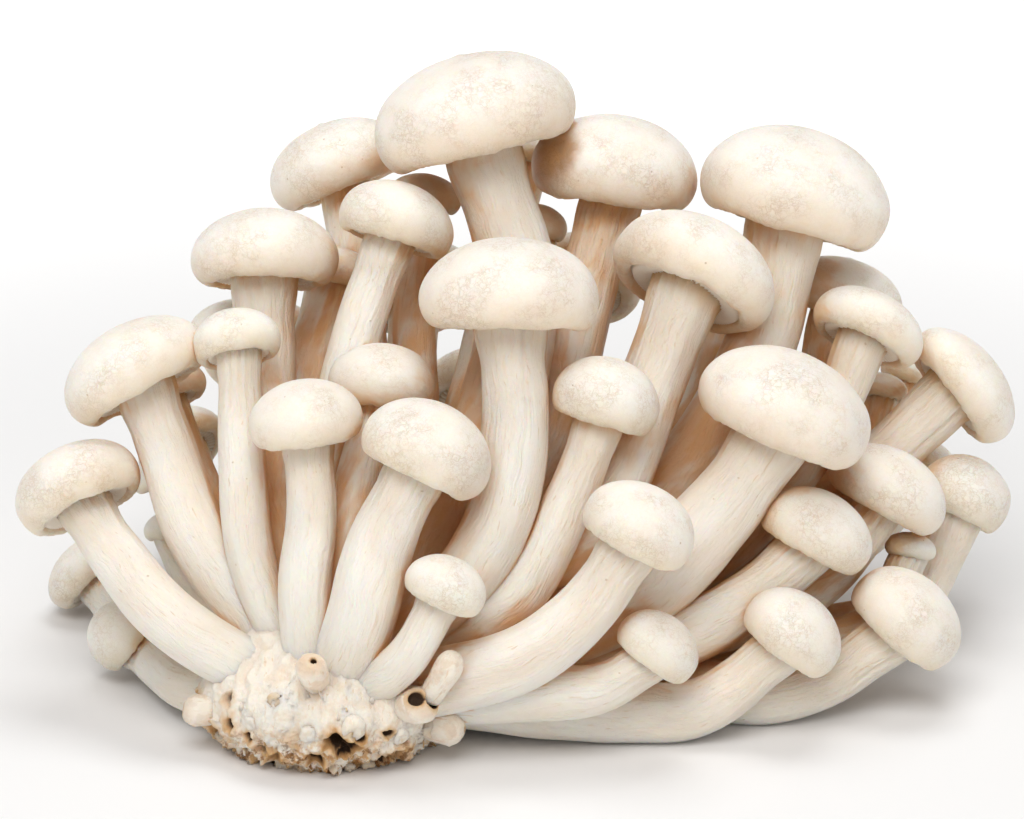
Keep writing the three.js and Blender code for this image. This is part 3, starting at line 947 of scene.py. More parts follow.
@dataclass(frozen=True)
class Bud:
    """A stunted fruiting body: a short blunt stub on the root base.

    Attributes:
        name: The name of its CAD node.
        stem: What the stub passes through, from its foot to the middle of its head.
        girth: The radius at the foot and under the head.
        head: The head's radius and height.
        roll: How far the head tips to the right, in degrees.
        nod: How far the head tips to the front, in degrees.
        tan: How tan the head is, from 0 to 1.
        holes: Dark holes in the head: sideways and forward places as shares of the head's radius,
            and the hole's radius as a share of it.
    """

    name: str
    stem: tuple[Point, ...]
    girth: tuple[float, float]
    head: tuple[float, float]
    roll: float
    nod: float
    tan: float = 0.3
    holes: tuple[Point, ...] = ()

    STUB_RINGS = 14
    HEAD_RINGS = 16
    STEPS_ROUND = 44

    def build(self, seed: int) -> Clay:
        """Makes the bud in the fan frame.

        Args:
            seed: What sets its grain apart.

        Returns:
            The mesh in the making.
        """
        clay = Clay(seed)
        flow = Flow(self.stem, leaning(self.roll, self.nod))
        foot, neck = self.girth
        radius, height = self.head
        outline = [(0.0, -0.5)]
        for i in range(self.STUB_RINGS + 1):
            share = i / self.STUB_RINGS
            outline.append((foot + (neck - foot) * share, share * flow.length))
        for i in range(1, self.HEAD_RINGS + 1):
            angle = math.pi / 2 * i / self.HEAD_RINGS
            outline.append((radius * math.cos(angle) ** 0.85 if i < self.HEAD_RINGS else 0.0,
                            flow.length + height * math.sin(angle)))
        shell = clay.turned(outline, self.STEPS_ROUND, 0)
        clay.mark_grain(shell)
        for vertex in shell:
            out = Vector((vertex.co.x, vertex.co.y, 0))
            way = out.normalized() if out.length > 0.01 else Vector((0, 0, 1))
            rise = (vertex.co.z - flow.length) / height
            vertex.co += way * (0.16 * noise.noise(vertex.co * 0.5 + clay.offset)
                                + 0.07 * noise.noise(vertex.co * 1.6 + clay.offset))
            stain = 0.6 * self.tan * smooth(rise, 0.0, 1.0)
            hollow = 0.0
            for x, y, wide in self.holes:
                away = math.hypot(out.x - x * radius, out.y - y * radius) / (wide * radius)
                if rise > 0.1:
                    hollow = max(hollow, 1 - smooth(away, 0.55, 1.15))
                    stain = max(stain, 0.9 * (1 - smooth(away, 0.9, 2.0)))
            vertex.co.z -= 0.9 * radius * 0.55 * hollow
            clay.put(vertex, Surface.STAIN, stain)
            clay.put(vertex, Surface.HOLLOW, hollow)
            clay.put(vertex, Surface.RIM, 0.1)
        flow.bend(shell)
        return clay

    def dress(self, clay: Clay, finishes: Sequence[bpy.types.Material]) -> bpy.types.Object:
        """Ends the bud with its finish.

        Args:
            clay: The mesh in the making.
            finishes: The bud's one finish.

        Returns:
            The piece.
        """
        return clay.piece(self.name, finishes)


@dataclass(frozen=True)
class Pit:
    """A dark torn hole in the front of the root base.

    Attributes:
        x: Its place across the fan.
        z: Its place up the fan.
        reach: Its radius.
        dark: How dark it is, from 0 to 1.
    """

    x: float
    z: float
    reach: float
    dark: float = 1.0


@dataclass(frozen=True)
class Nodule:
    """A small round lump on the root base, often with a dimple.

    Attributes:
        x: Its place across the fan.
        z: Its place up the fan.
        radius: Its radius.
        tall: How far it stands out.
        tan: How tan it is, from 0 to 1.
        dimple: How deep and dark its middle is, from 0 to 1.
    """

    x: float
    z: float
    radius: float
    tall: float
    tan: float
    dimple: float = 0.0


@dataclass(frozen=True)
class RootBase:
    """The knobbly base that all the stems grow from.

    Attributes:
        name: The name of its CAD node.
        centre: The mound's centre in the fan frame.
        radii: The mound's half sizes.
        fineness: How often the mound's faces are divided.
        flakes: How many torn flakes stand on it.
        pits: The dark holes in its front.
        nodules: The lumps on its front.
        spare_pits: How many more pits are spread over the rest of it.
        tuck: How far its front is drawn in towards the stems' feet, as a share.
    """

    name: str = "root_base"
    centre: Point = (-21.5, -14.0, -33.4)
    radii: Point = (14.8, 15.5, 9.4)
    fineness: int = 7
    flakes: int = 330
    pits: tuple[Pit, ...] = ()
    nodules: tuple[Nodule, ...] = ()
    spare_pits: int = 30
    tuck: float = 0.24

    TUCKED = (-38.5, -29.0)
    RAGGED = (-41.0, -35.0)
    EDGE = 0.985
    PIT_SPREAD = 1.45
    FLAKE_GAP = 1.3
    NODULE_STEPS = 28

    def front(self, x: float, z: float) -> tuple[Vector, Vector]:
        """A place on the mound's front, and the way it faces there.

        Args:
            x: Across the fan.
            z: Up the fan.

        Returns:
            The place and the facing.
        """
        a = (x - self.centre[0]) / self.radii[0]
        c = (z - self.centre[2]) / self.radii[2]
        spread = math.hypot(a, c)
        if spread > self.EDGE:
            a, c = a / spread * self.EDGE, c / spread * self.EDGE
        b = -math.sqrt(max(0.0, 1 - a * a - c * c))
        place = self._surface(Vector((a, b, c)))
        facing = Vector((a / self.radii[0], b / self.radii[1], c / self.radii[2])).normalized()
        return place, facing

    def _surface(self, way: Vector) -> Vector:
        """The place on the smooth mound that lies that way from its centre."""
        place = Vector(self.centre) + Vector(w * r for w, r in zip(way, self.radii))
        if place.y < self.centre[1]:
            tuck = 1 - self.tuck * smooth(place.z, *self.TUCKED)
            place.y = self.centre[1] + (place.y - self.centre[1]) * tuck
        return place

    def _low(self, place: Vector) -> float:
        """How far down a place lies in the mound's ragged lower band, from 0 to 1."""
        return 1 - smooth(place.z, *self.RAGGED)

    def _all_pits(self, rng: random.Random) -> list[tuple[Vector, float, float]]:
        """The place, the reach and the darkness of every pit."""
        found = [(self.front(p.x, p.z)[0], self.PIT_SPREAD * p.reach, p.dark) for p in self.pits]
        for _ in range(self.spare_pits):
            turn = rng.uniform(-0.15, math.pi + 0.15)
            sink = rng.uniform(-0.85, -0.1)
            level = math.sqrt(1 - sink * sink)
            way = Vector((math.cos(turn) * level, math.sin(turn) * level, sink))
            found.append((self._surface(way), rng.uniform(0.55, 1.3), rng.uniform(0.6, 1.0)))
        return found

    def _mound(self, clay: Clay, pits: Sequence[tuple[Vector, float, float]]) -> None:
        """Makes the mound, with its fibrous ridges, torn flaps and pits.

        Args:
            clay: The mesh in the making.
            pits: Every pit's place, reach and darkness.
        """
        made = bmesh.ops.create_icosphere(clay.bm, subdivisions=self.fineness, radius=1.0)
        centre = Vector(self.centre)
        for vertex in made["verts"]:
            way = vertex.co.normalized()
            place = self._surface(way)
            low = self._low(place)
            fibres = noise.noise(Vector((place.x * 0.85, place.y * 0.85, place.z * 0.13)))
            strand = 1 - 2 * abs(noise.noise(Vector((place.x * 0.42, place.y * 0.42,
                                                     place.z * 0.10)) + Vector((9, 4, 2))))
            torn = noise.noise(Vector((place.x * 0.62, place.y * 0.62, place.z * 0.45)))
            crisp = abs(noise.noise(place * 1.15 + Vector((5, 1, 7))))
            fine = noise.noise(place * 2.7)
            rise = (0.62 * fibres + 0.62 * strand) * (1 - 0.45 * low)
            rise += low * (1.05 * torn + 1.25 * (crisp - 0.25)) + 0.16 * fine
            hollow, stain = 0.0, 0.0
            for spot, reach, dark in pits:
                near = place - spot
                if abs(near.x) > 3 * reach or abs(near.z) > 3 * reach:
                    continue
                away = near.length / reach * (1 + 0.45 * noise.noise(place * 1.3 + spot))
                core = 1 - smooth(away, 0.45, 1.05)
                rise -= 1.5 * reach * core
                rise += 0.35 * reach * math.exp(-((away - 1.35) / 0.35) ** 2)
                hollow = max(hollow, dark * core)
                stain = max(stain, 1.1 * dark * (1 - smooth(away, 0.9, 2.1)))
            # Painted shade in the crevices of the lower band, carried as stain and hollow.
            crevice = smooth(-rise, 0.35, 1.3) * low
            vertex.co = place + way * rise
            vertex[clay.grain] = vertex.co
            clay.put(vertex, Surface.RIM, low)
            clay.put(vertex, Surface.STAIN, max(stain, 0.75 * crevice))
            clay.put(vertex, Surface.HOLLOW, max(hollow, 0.35 * crevice))
        for face in clay.bm.faces:
            face.smooth = True

    def _flakes(self, clay: Clay, rng: random.Random,
                pits: Sequence[tuple[Vector, float, float]]) -> None:
        """Stands torn flakes on the mound, most of them low down, clear of the pits.

        Args:
            clay: The mesh in the making.
            rng: The source of their places.
            pits: Every pit's place, reach and darkness.
        """
        for _ in range(self.flakes):
            turn = rng.uniform(0, 2 * math.pi)
            sink = rng.uniform(-0.95, 0.12)
            if rng.random() < 0.35:
                turn = rng.uniform(1.05 * math.pi, 1.95 * math.pi)
            level = math.sqrt(1 - sink * sink)
            way = Vector((math.cos(turn) * level, math.sin(turn) * level, sink))
            place = self._surface(way)
            if any((place - spot).length < reach + self.FLAKE_GAP for spot, reach, _ in pits):
                continue
            out = Vector(w / r for w, r in zip(way, self.radii)).normalized()
            low = self._low(place)
            hang = Vector((rng.uniform(-0.6, 0.6), rng.uniform(-0.4, 0.4),
                           rng.choice((-1.0, 0.8)) if low > 0.4 else 1.0))
            along = (hang - out * hang.dot(out)).normalized()
            along = (along + out * rng.uniform(0.25, 1.1) * (0.35 + low)).normalized()
            across = along.cross(out).normalized()
            thick = across.cross(along)
            wide = rng.uniform(0.3, 1.0)
            tall = rng.uniform(0.8, 1.9)
            made = bmesh.ops.create_cone(clay.bm, cap_ends=True, cap_tris=False, segments=8,
                                         radius1=0.5, radius2=rng.uniform(0.08, 0.3), depth=1.0)
            axes = Matrix((across, thick, along)).transposed()
            curl = rng.uniform(-1.1, 1.5)
            tone = (1.3 if rng.random() < 0.4 * low + 0.08 else 0.15) * rng.random()
            for vertex in made["verts"]:
                tip = vertex.co.z + 0.5
                local = Vector((vertex.co.x * wide, vertex.co.y * 0.26 + curl * tip * tip * 0.5,
                                tip * tall - 0.5))
                vertex.co = place + axes @ local
                vertex[clay.grain] = vertex.co
                clay.put(vertex, Surface.RIM, low * 0.8)
                clay.put(vertex, Surface.STAIN, tone * (0.4 + 0.6 * tip))
            for face in {f for v in made["verts"] for f in v.link_faces}:
                face.smooth = True

    def _nodules(self, clay: Clay) -> None:
        """Stands the nodules on the mound's front.

        Args:
            clay: The mesh in the making.
        """
        for nodule in self.nodules:
            place, facing = self.front(nodule.x, nodule.z)
            wide, tall, sunk = nodule.radius, nodule.tall, nodule.dimple * nodule.tall
            outline = [(0.0, -0.8), (wide * 0.8, -0.8), (wide * 0.98, 0.1 * tall),
                       (wide, 0.45 * tall), (wide * 0.88, 0.78 * tall), (wide * 0.68, 0.97 * tall),
                       (wide * 0.48, tall), (wide * 0.34, tall - 0.35 * sunk),
                       (wide * 0.2, tall - 0.85 * sunk), (0.0, tall - sunk)]
            shell = clay.turned(outline, self.NODULE_STEPS, 0)
            turn = Vector((0, 0, 1)).rotation_difference(facing)
            for vertex in shell:
                share = math.hypot(vertex.co.x, vertex.co.y) / wide
                local = vertex.co.copy()
                local += Vector((local.x, local.y, 0)) * 0.28 * noise.noise(local * 0.8 + place)
                local.z += 0.18 * noise.noise(local * 1.3 + place)
                ring = math.exp(-((share - 0.62) / 0.3) ** 2)
                clay.put(vertex, Surface.STAIN, nodule.tan * (0.45 + 0.55 * ring))
                clay.put(vertex, Surface.HOLLOW,
                         nodule.dimple * (1 - smooth(share, 0.1, 0.42)))
                vertex.co = place + turn @ local
                vertex[clay.grain] = vertex.co

    def build(self) -> Clay:
        """Makes the base in the fan frame.

        Returns:
            The mesh in the making.
        """
        rng = random.Random(11)
        clay = Clay(0)
        pits = self._all_pits(rng)
        self._flakes(clay, rng, pits)
        self._nodules(clay)
        self._mound(clay, pits)
        return clay

    def dress(self, clay: Clay, finishes: Sequence[bpy.types.Material]) -> bpy.types.Object:
        """Ends the base with its finish.

        Args:
            clay: The mesh in the making.
            finishes: The base's one finish.

        Returns:
            The piece.
        """
        return clay.piece(self.name, finishes)


@dataclass(frozen=True)
class Crowding:
    """How closely the pieces crowd round each place of the flesh, which the finishes paint as
    shade.

    Attributes:
        reach: How far away a neighbour still counts, in metres.
        rays: How many ways are looked along from each place.
        lift: How far off the surface each look starts, in metres.
        own_skin: How close the piece's own solid is looked through, in metres.
    """

    reach: float = 0.03
    rays: int = 14
    lift: float = 0.0004
    own_skin: float = 0.0025

    def _ways(self) -> list[Vector]:
        """Evenly spread directions over a ball."""
        golden = math.pi * (3 - math.sqrt(5))
        count = 2 * self.rays
        heights = [1 - 2 * (i + 0.5) / count for i in range(count)]
        return [Vector((math.cos(golden * i) * math.sqrt(1 - z * z),
                        math.sin(golden * i) * math.sqrt(1 - z * z), z))
                for i, z in enumerate(heights)]

    def mark(self, pieces: Sequence[bpy.types.Object]) -> None:
        """Writes the crowding into every piece, as the mask of the painted shade.

        Args:
            pieces: The pieces, in the part's frame.
        """
        solids = [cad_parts[name] for name in sorted(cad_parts) if name != BASE.name]
        corners: list[Vector] = []
        faces: list[tuple[int, ...]] = []
        owners: list[str] = []
        for solid in solids:
            start = len(corners)
            corners.extend(v.co.copy() for v in solid.data.vertices)
            faces.extend(tuple(start + i for i in p.vertices) for p in solid.data.polygons)
            owners.extend([solid.name] * len(solid.data.polygons))
        tree = BVHTree.FromPolygons(corners, faces)
        ways = self._ways()
        for piece in pieces:
            mesh = piece.data
            own = piece["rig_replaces"][0]
            found = []
            for vertex in mesh.vertices:
                out = vertex.normal
                start = vertex.co + out * self.lift
                open_ways = [w for w in ways if w.dot(out) > 0.1]
                hits = sum(self._blocked(tree, owners, own, start, w) for w in open_ways)
                found.append(hits / max(1, len(open_ways)))
            mesh.attributes[Surface.BURIED.value].data.foreach_set("value", found)

    def _blocked(self, tree: BVHTree, owners: Sequence[str], own: str, start: Vector,
                 way: Vector) -> bool:
        """Whether a neighbour stands close by in one direction.

        Args:
            tree: All the solids' faces.
            owners: The solid that each face belongs to.
            own: The solid whose skin is looked from, which the look passes through at first.
            start: Where the look starts.
            way: Its direction.

        Returns:
            Whether something is met within reach.
        """
        place, _, face, away = tree.ray_cast(start, way, self.reach)
        if place is not None and owners[face] == own and away < self.own_skin:
            place, _, face, away = tree.ray_cast(place + way * self.lift, way, self.reach)
        return place is not None


@dataclass(frozen=True)
class SoftBox:
    """A soft studio light.

    Attributes:
        name: Its name.
        place: Where it stands from the middle of the fan, in metres.
        size: Its width and height, in metres.
        power: Its power, in watts.
        tint: Its colour.
    """

    name: str
    place: Point
    size: tuple[float, float]
    power: float
    tint: tuple[float, float, float] = (1.0, 1.0, 1.0)

    def build(self, middle: Vector) -> None:
        """Hangs the light so that it faces the cluster.

        Args:
            middle: What the light faces.
        """
        light = bpy.data.lights.new(self.name, "AREA")
        light.shape = "RECTANGLE"
        light.size, light.size_y = self.size
        light.energy = self.power
        light.color = self.tint
        lamp = bpy.data.objects.new(self.name, light)
        lamp.location = middle + Vector(self.place)
        lamp.rotation_euler = (-Vector(self.place)).to_track_quat("-Z", "Y").to_euler()
        bpy.context.scene.collection.objects.link(lamp)


@dataclass(frozen=True)
class Studio:
    """The table, the soft light and the camera.

    Attributes:
        distance: How far the camera stands from the fan's middle, in millimetres.
        focal: The lens, in millimetres on a 36 mm sensor.
        ambient: The strength of the light that comes from all round.
        lights: The soft boxes.
    """

    distance: float = 600.0
    focal: float = 175.0
    ambient: float = 0.42
    lights: tuple[SoftBox, ...] = (
        SoftBox("key_light", (-0.10, -0.50, 0.66), (0.55, 0.40), 3.8),
        SoftBox("top_light", (0.06, 0.12, 0.72), (0.45, 0.30), 1.8),
    )

    def _table(self) -> None:
        """Lays the table top."""
        bm = bmesh.new()
        bmesh.ops.create_grid(bm, x_segments=1, y_segments=1, size=3.0)
        mesh = bpy.data.meshes.new("table_top")
        bm.to_mesh(mesh)
        bm.free()
        mesh.materials.append(TableTop().material())
        table = bpy.data.objects.new("table_top", mesh)
        bpy.context.scene.collection.objects.link(table)

    def _world(self) -> None:
        """Lights the room evenly from all round."""
        world = bpy.data.worlds.new("studio")
        world.use_nodes = True
        ground = world.node_tree.nodes["Background"]
        ground.inputs["Color"].default_value = (1.0, 1.0, 1.0, 1)
        ground.inputs["Strength"].default_value = self.ambient
        bpy.context.scene.world = world

    def _camera(self) -> None:
        """Stands the camera square to the fan's face."""
        lens = bpy.data.cameras.new("camera")
        lens.lens, lens.sensor_width = self.focal, 36.0
        lens.clip_start, lens.clip_end = 0.01, 20.0
        camera = bpy.data.objects.new("camera", lens)
        camera.location = FAN.place(Vector((0, -self.distance, 0)))
        camera.rotation_euler = (math.radians(90 - FAN.lean), 0, 0)
        bpy.context.scene.collection.objects.link(camera)
        bpy.context.scene.camera = camera

    def build(self) -> None:
        """Sets the whole studio up."""
        self._table()
        self._world()
        self._camera()
        for light in self.lights:
            light.build(FAN.place(Vector((0, 0, 0))))
        view = bpy.context.scene.view_settings
        view.view_transform = "Standard"
        view.look = "None"


FRUITING_BODIES: tuple[Mushroom | Bud, ...] = (
    # The short ones along the front.
    Mushroom("front_mushroom_1", ((-17.5, -22, -33), (-11.8, -29, -28.2), (-8.4, -29, -22.2)),
        (2.4, 2.5, 2.1), (4.8, 5.6), 24, 8),
    Mushroom("front_mushroom_2",
        ((-20, -21.5, -31.5), (-17.3, -26, -24), (-14.9, -25, -15), (-11.3, -24, -7.8)),
        (3.5, 4, 3.1), (7.7, 9.2), 26, 1),
    Mushroom("front_mushroom_3",
        ((-23.5, -20.5, -31), (-24, -23, -21), (-23.3, -21, -12), (-23.8, -20, -3.8)),
        (3, 3.1, 2.6), (6.7, 7.4), -7, 8),
    Mushroom("front_mushroom_4",
        ((-14, -19, -33), (1, -26, -28.8), (8.3, -26, -23.3), (13.5, -26, -16.1)),
        (4, 3.9, 3), (6.7, 7.9), 27, 8),
    Mushroom("front_mushroom_5",
        ((-14, -16.5, -31.5), (1, -18, -21.5), (7, -16, -10), (10.2, -15, -1.6)),
        (2.6, 3.1, 2.5), (6.4, 7.9), 17, 4),
    Mushroom("front_mushroom_6",
        ((-20.5, -20, -30), (-19.5, -17, -16), (-17.6, -12, -6), (-15.6, -9, 1)),
        (2.2, 2.6, 2.4), (6.4, 6.9), 4, 7),
    Bud("front_bud_1", ((-9.5, -27, -33), (-7.3, -29.5, -29.8)),
        (1.4, 1.7), (1.7, 2.3), 20, 20, 0.05),
    Bud("front_bud_2", ((-13, -22, -34), (-10.6, -27.5, -34)),
        (2, 2.2), (2.2, 1.9), 25, 60, 0.75, ((-0.45, -0.1, 0.42), (0.4, 0.15, 0.46))),
    Bud("front_bud_3", ((-12, -17, -35.5), (-7.6, -21, -37)),
        (2, 2.2), (2.1, 2.2), 80, 35, 0.25, ((0.1, -0.2, 0.18),)),
    Bud("front_bud_4", ((-22.5, -25, -31.5), (-23, -29.2, -29.8)),
        (1.7, 1.8), (1.8, 1.7), -5, 50, 0.8, ((0.2, 0.0, 0.2),)),
    Bud("front_bud_5", ((-32, -17, -34.5), (-36.6, -19, -35.2)),
        (1.8, 1.9), (1.9, 1.9), -80, 30, 0.45, ((0.0, 0.0, 0.3),)),
    # The left side, which spreads low over the table.
    Mushroom("left_mushroom_1",
        ((-28, -18.5, -32), (-39.6, -19, -24.8), (-46, -14, -18), (-50.3, -10, -12)),
        (3.2, 3.5, 2.8), (7.8, 8.2), -26, -14,
        open_gills=True),
    Mushroom("left_mushroom_2",
        ((-26, -17, -29.5), (-30.4, -17, -18), (-31.9, -13, -5), (-32.3, -11, 6)),
        (2.3, 2.9, 2.2), (5.3, 6), -9, -16),
    Mushroom("left_mushroom_3",
        ((-27, -15, -29.5), (-37, -13, -15), (-40.6, -9, -6), (-43.4, -7, 1.8)),
        (3, 3.6, 3.2), (9.1, 8.9), -30, -4),
    Mushroom("left_mushroom_4", ((-31, -18, -34), (-37.9, -10, -33.2), (-45.3, 2, -28.7)),
        (2.6, 2.8, 2.4), (4.4, 6.5), -52, 4),
    Mushroom("left_mushroom_5",
        ((-31, -16, -32), (-39, -5, -30.8), (-46.6, 9, -26.6), (-51.8, 22, -21.6)),
        (2.2, 2.6, 2.4), (5.6, 5.6), -45, -10),
    Mushroom("left_mushroom_6",
        ((-27, -10, -30), (-36, 2, -25), (-40.5, 10, -19), (-41.8, 12, -15.8)),
        (1.8, 2, 1.8), (3.3, 3.4), -8, -2),
    # The right side, whose lowest stems run along the table before they turn up.
    Mushroom("right_mushroom_1",
        ((-13, -17.5, -34), (3, -22, -33), (10, -22, -32.4), (15.7, -22, -29.2)),
        (2.8, 3.3, 2.4), (5.1, 6), 36, 10),
    Mushroom("right_mushroom_2",
        ((-12.5, -15, -33.5), (12, -14.5, -35.4), (22, -14.5, -35), (31.3, -16, -28.3)),
        (3, 3.8, 2.6), (6.2, 7.5), 37, 10),
    Mushroom("right_mushroom_3",
        ((-12.5, -10, -32), (16, -7, -32.6), (30, -9, -33.9), (37, -8, -32.2), (45.1, -7, -27)),
        (2.8, 3.6, 2.8), (7.2, 8.2), 40, 13),
    Mushroom("right_mushroom_4",
        ((-13, -13.5, -33.5), (18, -12.5, -27.6), (28, -11, -22.5), (34.8, -10, -16.8)),
        (3, 3.7, 2.9), (6.9, 7.6), 29, 5),
    Mushroom("right_mushroom_5",
        ((-13.5, -15, -31.5), (12, -14, -23.5), (24, -12, -12.7), (30.9, -11, -3.5)),
        (3.6, 4.8, 4.1), (10.6, 10.8), 23, 8),
    Mushroom("right_mushroom_6", ((-13, -13, -32), (25, -6, -26), (38, -2, -20), (44, 0, -12.1)),
        (2.6, 3, 2.6), (7.5, 7.8), 29, 5),
    Mushroom("right_mushroom_7", ((-13.5, -12.5, -31), (24, -2, -18), (38, 3, -2), (42.2, 4, 7.8)),
        (2.4, 2.9, 2.6), (7.1, 6.8), 25, -15),
    Mushroom("right_mushroom_8",
        ((-13.5, -11.5, -31.5), (25, 6, -19.5), (43, 9, -8), (53.3, 11, 1.4)),
        (2.6, 3.4, 3.2), (8.1, 7.4), 52, -6),
    Mushroom("right_mushroom_9",
        ((-13, -11.5, -33), (28, 5, -28.4), (48.2, 8, -24), (54.2, 10, -13.2)),
        (2.6, 3.2, 2.9), (5.8, 7.9), 25, -3),
    # The tall ones that make the crown of the fan.
    Mushroom("crown_mushroom_1",
        ((-16, -17.5, -30.5), (-3, -19, -16), (0.3, -16, -3), (-0.3, -14, 9.5)),
        (3.2, 4, 3.7), (10.7, 10.8), 0, 1),
    Mushroom("crown_mushroom_2",
        ((-14.5, -14.5, -30.5), (9, -11, -14), (16.5, -5, 2.5), (20.5, -3, 13.3)),
        (3, 3.9, 3.7), (10.2, 10), 25, -18,
        open_gills=True),
    Mushroom("crown_mushroom_3",
        ((-25, -15, -28), (-28.5, -6, -8), (-29.7, 0, 5), (-29.9, 2, 15.2)),
        (2.6, 3.5, 3.4), (8.9, 9.2), 0, -6),
    Mushroom("crown_mushroom_4",
        ((-22, -16, -28), (-22, -10, -8), (-18.4, -4, 9.5), (-14.7, 0, 20)),
        (2.4, 3, 2.6), (7.1, 7.6), 17, -4),
    Mushroom("crown_mushroom_5", ((-17.5, -13, -29), (-5, -5, -8), (0.8, 3, 14), (-3.6, 6, 31.2)),
        (3.4, 4.8, 4), (12.8, 12.2), -14, 4,
        open_gills=True),
    Mushroom("crown_mushroom_6", ((-14, -12.5, -30.5), (17, 1, -12), (29.5, 5, 6), (33.3, 8, 22)),
        (3.2, 4.3, 4.1), (11.8, 12.7), 17, 3),
    # Its left side carries a brown painted shadow of crown_mushroom_5's cap.
    Mushroom("crown_mushroom_7", ((-16.5, -12, -29.5), (4, 4, -5), (8.4, 9, 12), (12.1, 13, 25.5)),
        (2.8, 3.7, 3.3), (10.3, 10.9), 8, 5,
        painted_shadows=(PaintedShadow((3.4, 6.0, 30.6), 7.5), PaintedShadow((5.6, 3.0, 32.6), 5.5, 0.8))),
    Mushroom("crown_mushroom_8",
        ((-20.5, -11, -28.5), (-17.5, 4, -5), (-18.8, 14, 12), (-20.6, 20, 27.3)),
        (2.6, 3.1, 2.8), (8.8, 8.8), -22, 0),
    # The small and half-hidden ones between the crown and the back.
    Mushroom("middle_mushroom_1",
        ((-25, -10.5, -29), (-34, -2, -17), (-39, 7, -7), (-42.5, 11, 0.5)),
        (2.2, 2.6, 2.4), (5.8, 5.2), -20, -12),
    Mushroom("middle_mushroom_2",
        ((-25, -8.5, -29.5), (-33, 6, -20), (-39, 17, -13), (-42.4, 20, -9.5)),
        (2, 2.3, 2), (4.8, 4.4), -15, 0),
    Mushroom("middle_mushroom_3",
        ((-23.5, -10.5, -28.5), (-30, 0, -12), (-33, 10, 0), (-34.2, 13, 9)),
        (2.2, 2.7, 2.4), (5.3, 4.6), -12, -4),
    Mushroom("middle_mushroom_4",
        ((-21.5, -11, -28.5), (-25.5, 1, -8), (-24.5, 10, 6), (-22, 14, 15.5)),
        (2.4, 3, 2.7), (4.8, 4.6), 10, 0),
    Mushroom("middle_mushroom_5",
        ((-19.5, -11, -28.5), (-12, 3, -5), (-12, 11, 12), (-11, 15, 24.6)),
        (2.2, 2.7, 2.3), (4.6, 4.6), 8, 0),
    Mushroom("middle_mushroom_6", ((-18.5, -10, -29), (-7, 8, -4), (-2, 19, 14), (2, 24, 31)),
        (2, 2.6, 2.3), (4.2, 4), 0, 0),
    Mushroom("middle_mushroom_7", ((-17, -10.5, -29.5), (-2, 4, -8), (2, 13, 8), (3, 17, 21.5)),
        (2, 2.4, 2.1), (3.6, 4), 15, 0),
    Mushroom("middle_mushroom_8", ((-14, -11, -31), (20, 9, -16), (36, 17, -2), (40.3, 19, 11.8)),
        (2.6, 3.2, 2.9), (7.6, 7.2), 14, 2),
    Mushroom("middle_mushroom_9",
        ((-13.5, -10.5, -32), (24, 6, -22), (42, 15, -9), (45.3, 17, 1.2)),
        (1.8, 2.2, 1.9), (3.6, 3.4), 5, -10),
    Mushroom("middle_mushroom_10", ((-14, -10, -32), (24, 9, -20), (43, 20, -8), (49.2, 24, 3.6)),
        (1.8, 2.1, 1.8), (3.4, 3.3), 18, 0),
    Mushroom("middle_mushroom_11",
        ((-13.5, -10, -32.5), (26, 9, -25), (46, 20, -15), (51.5, 24, -7.2)),
        (1.8, 2.1, 1.8), (3.6, 3.6), 25, 0),
    Mushroom("middle_mushroom_12",
        ((-13, -12, -33), (28, -2, -29.5), (44, 1, -25), (48, 2, -17.8)),
        (1.8, 2.2, 1.9), (3.1, 3), 10, 0),
    # The back of the fan, whose lowest caps reach the table.
    Mushroom("rear_mushroom_1", ((-22.5, -9, -29), (-27, 6, -12), (-30, 18, -3), (-31, 27, 6)),
        (2.2, 2.8, 2.5), (7.6, 7.2), -15, -35),
    Mushroom("rear_mushroom_2", ((-19.5, -9.5, -29), (-15, 8, -8), (-13, 20, 3), (-12, 29, 13)),
        (2.4, 3.1, 2.8), (8.6, 8), -5, -30),
    Mushroom("rear_mushroom_3", ((-17, -9.5, -30), (0, 9, -9), (6, 21, 3), (8, 30, 14)),
        (2.4, 3, 2.8), (8.4, 7.8), 6, -30),
    Mushroom("rear_mushroom_4", ((-15, -10.5, -30.5), (12, 6, -13), (24, 17, 0), (27, 24, 12)),
        (2.4, 3.2, 2.9), (8.6, 8), 18, -24),
    Mushroom("rear_mushroom_5",
        ((-24.5, -7.5, -30), (-33, 13, -21), (-38, 25, -13), (-41, 33, -6)),
        (2, 2.6, 2.3), (6, 5.8), -35, -35),
    Mushroom("rear_mushroom_6",
        ((-21.5, -7.5, -29.5), (-23, 12, -18), (-24, 26, -10), (-24, 37, -5)),
        (2.2, 3, 2.7), (7.6, 7), -12, -55),
    Mushroom("rear_mushroom_7", ((-19, -8, -30), (-11, 14, -15), (-6, 30, -6), (-4, 42, -1)),
        (2.4, 3.2, 2.9), (8.6, 8), 0, -55),
    Mushroom("rear_mushroom_8", ((-16, -9, -30.5), (3, 13, -17), (12, 27, -9), (16, 38, -3)),
        (2.3, 3, 2.8), (8, 7.4), 12, -52),
    Mushroom("rear_mushroom_9", ((-14.5, -9.5, -31.5), (14, 11, -20), (28, 24, -12), (34, 33, -6)),
        (2.2, 2.9, 2.6), (7, 6.6), 25, -40),
    Mushroom("rear_mushroom_10", ((-27, -6, -31), (-31, 8, -25), (-33, 18, -21), (-34, 25, -17)),
        (2, 2.4, 2.2), (5.6, 5.4), -35, -45),
    Mushroom("rear_mushroom_11",
        ((-20, -6.5, -30.5), (-17, 12, -23), (-14, 28, -18), (-13, 38, -14.5)),
        (2, 2.5, 2.3), (6, 5.8), -5, -60),
    Mushroom("rear_mushroom_12",
        ((-15.5, -8.5, -31.5), (0, 10, -24.5), (6, 24, -20), (9, 35, -16)),
        (2, 2.6, 2.3), (6, 5.8), 12, -55),
    Mushroom("rear_mushroom_13",
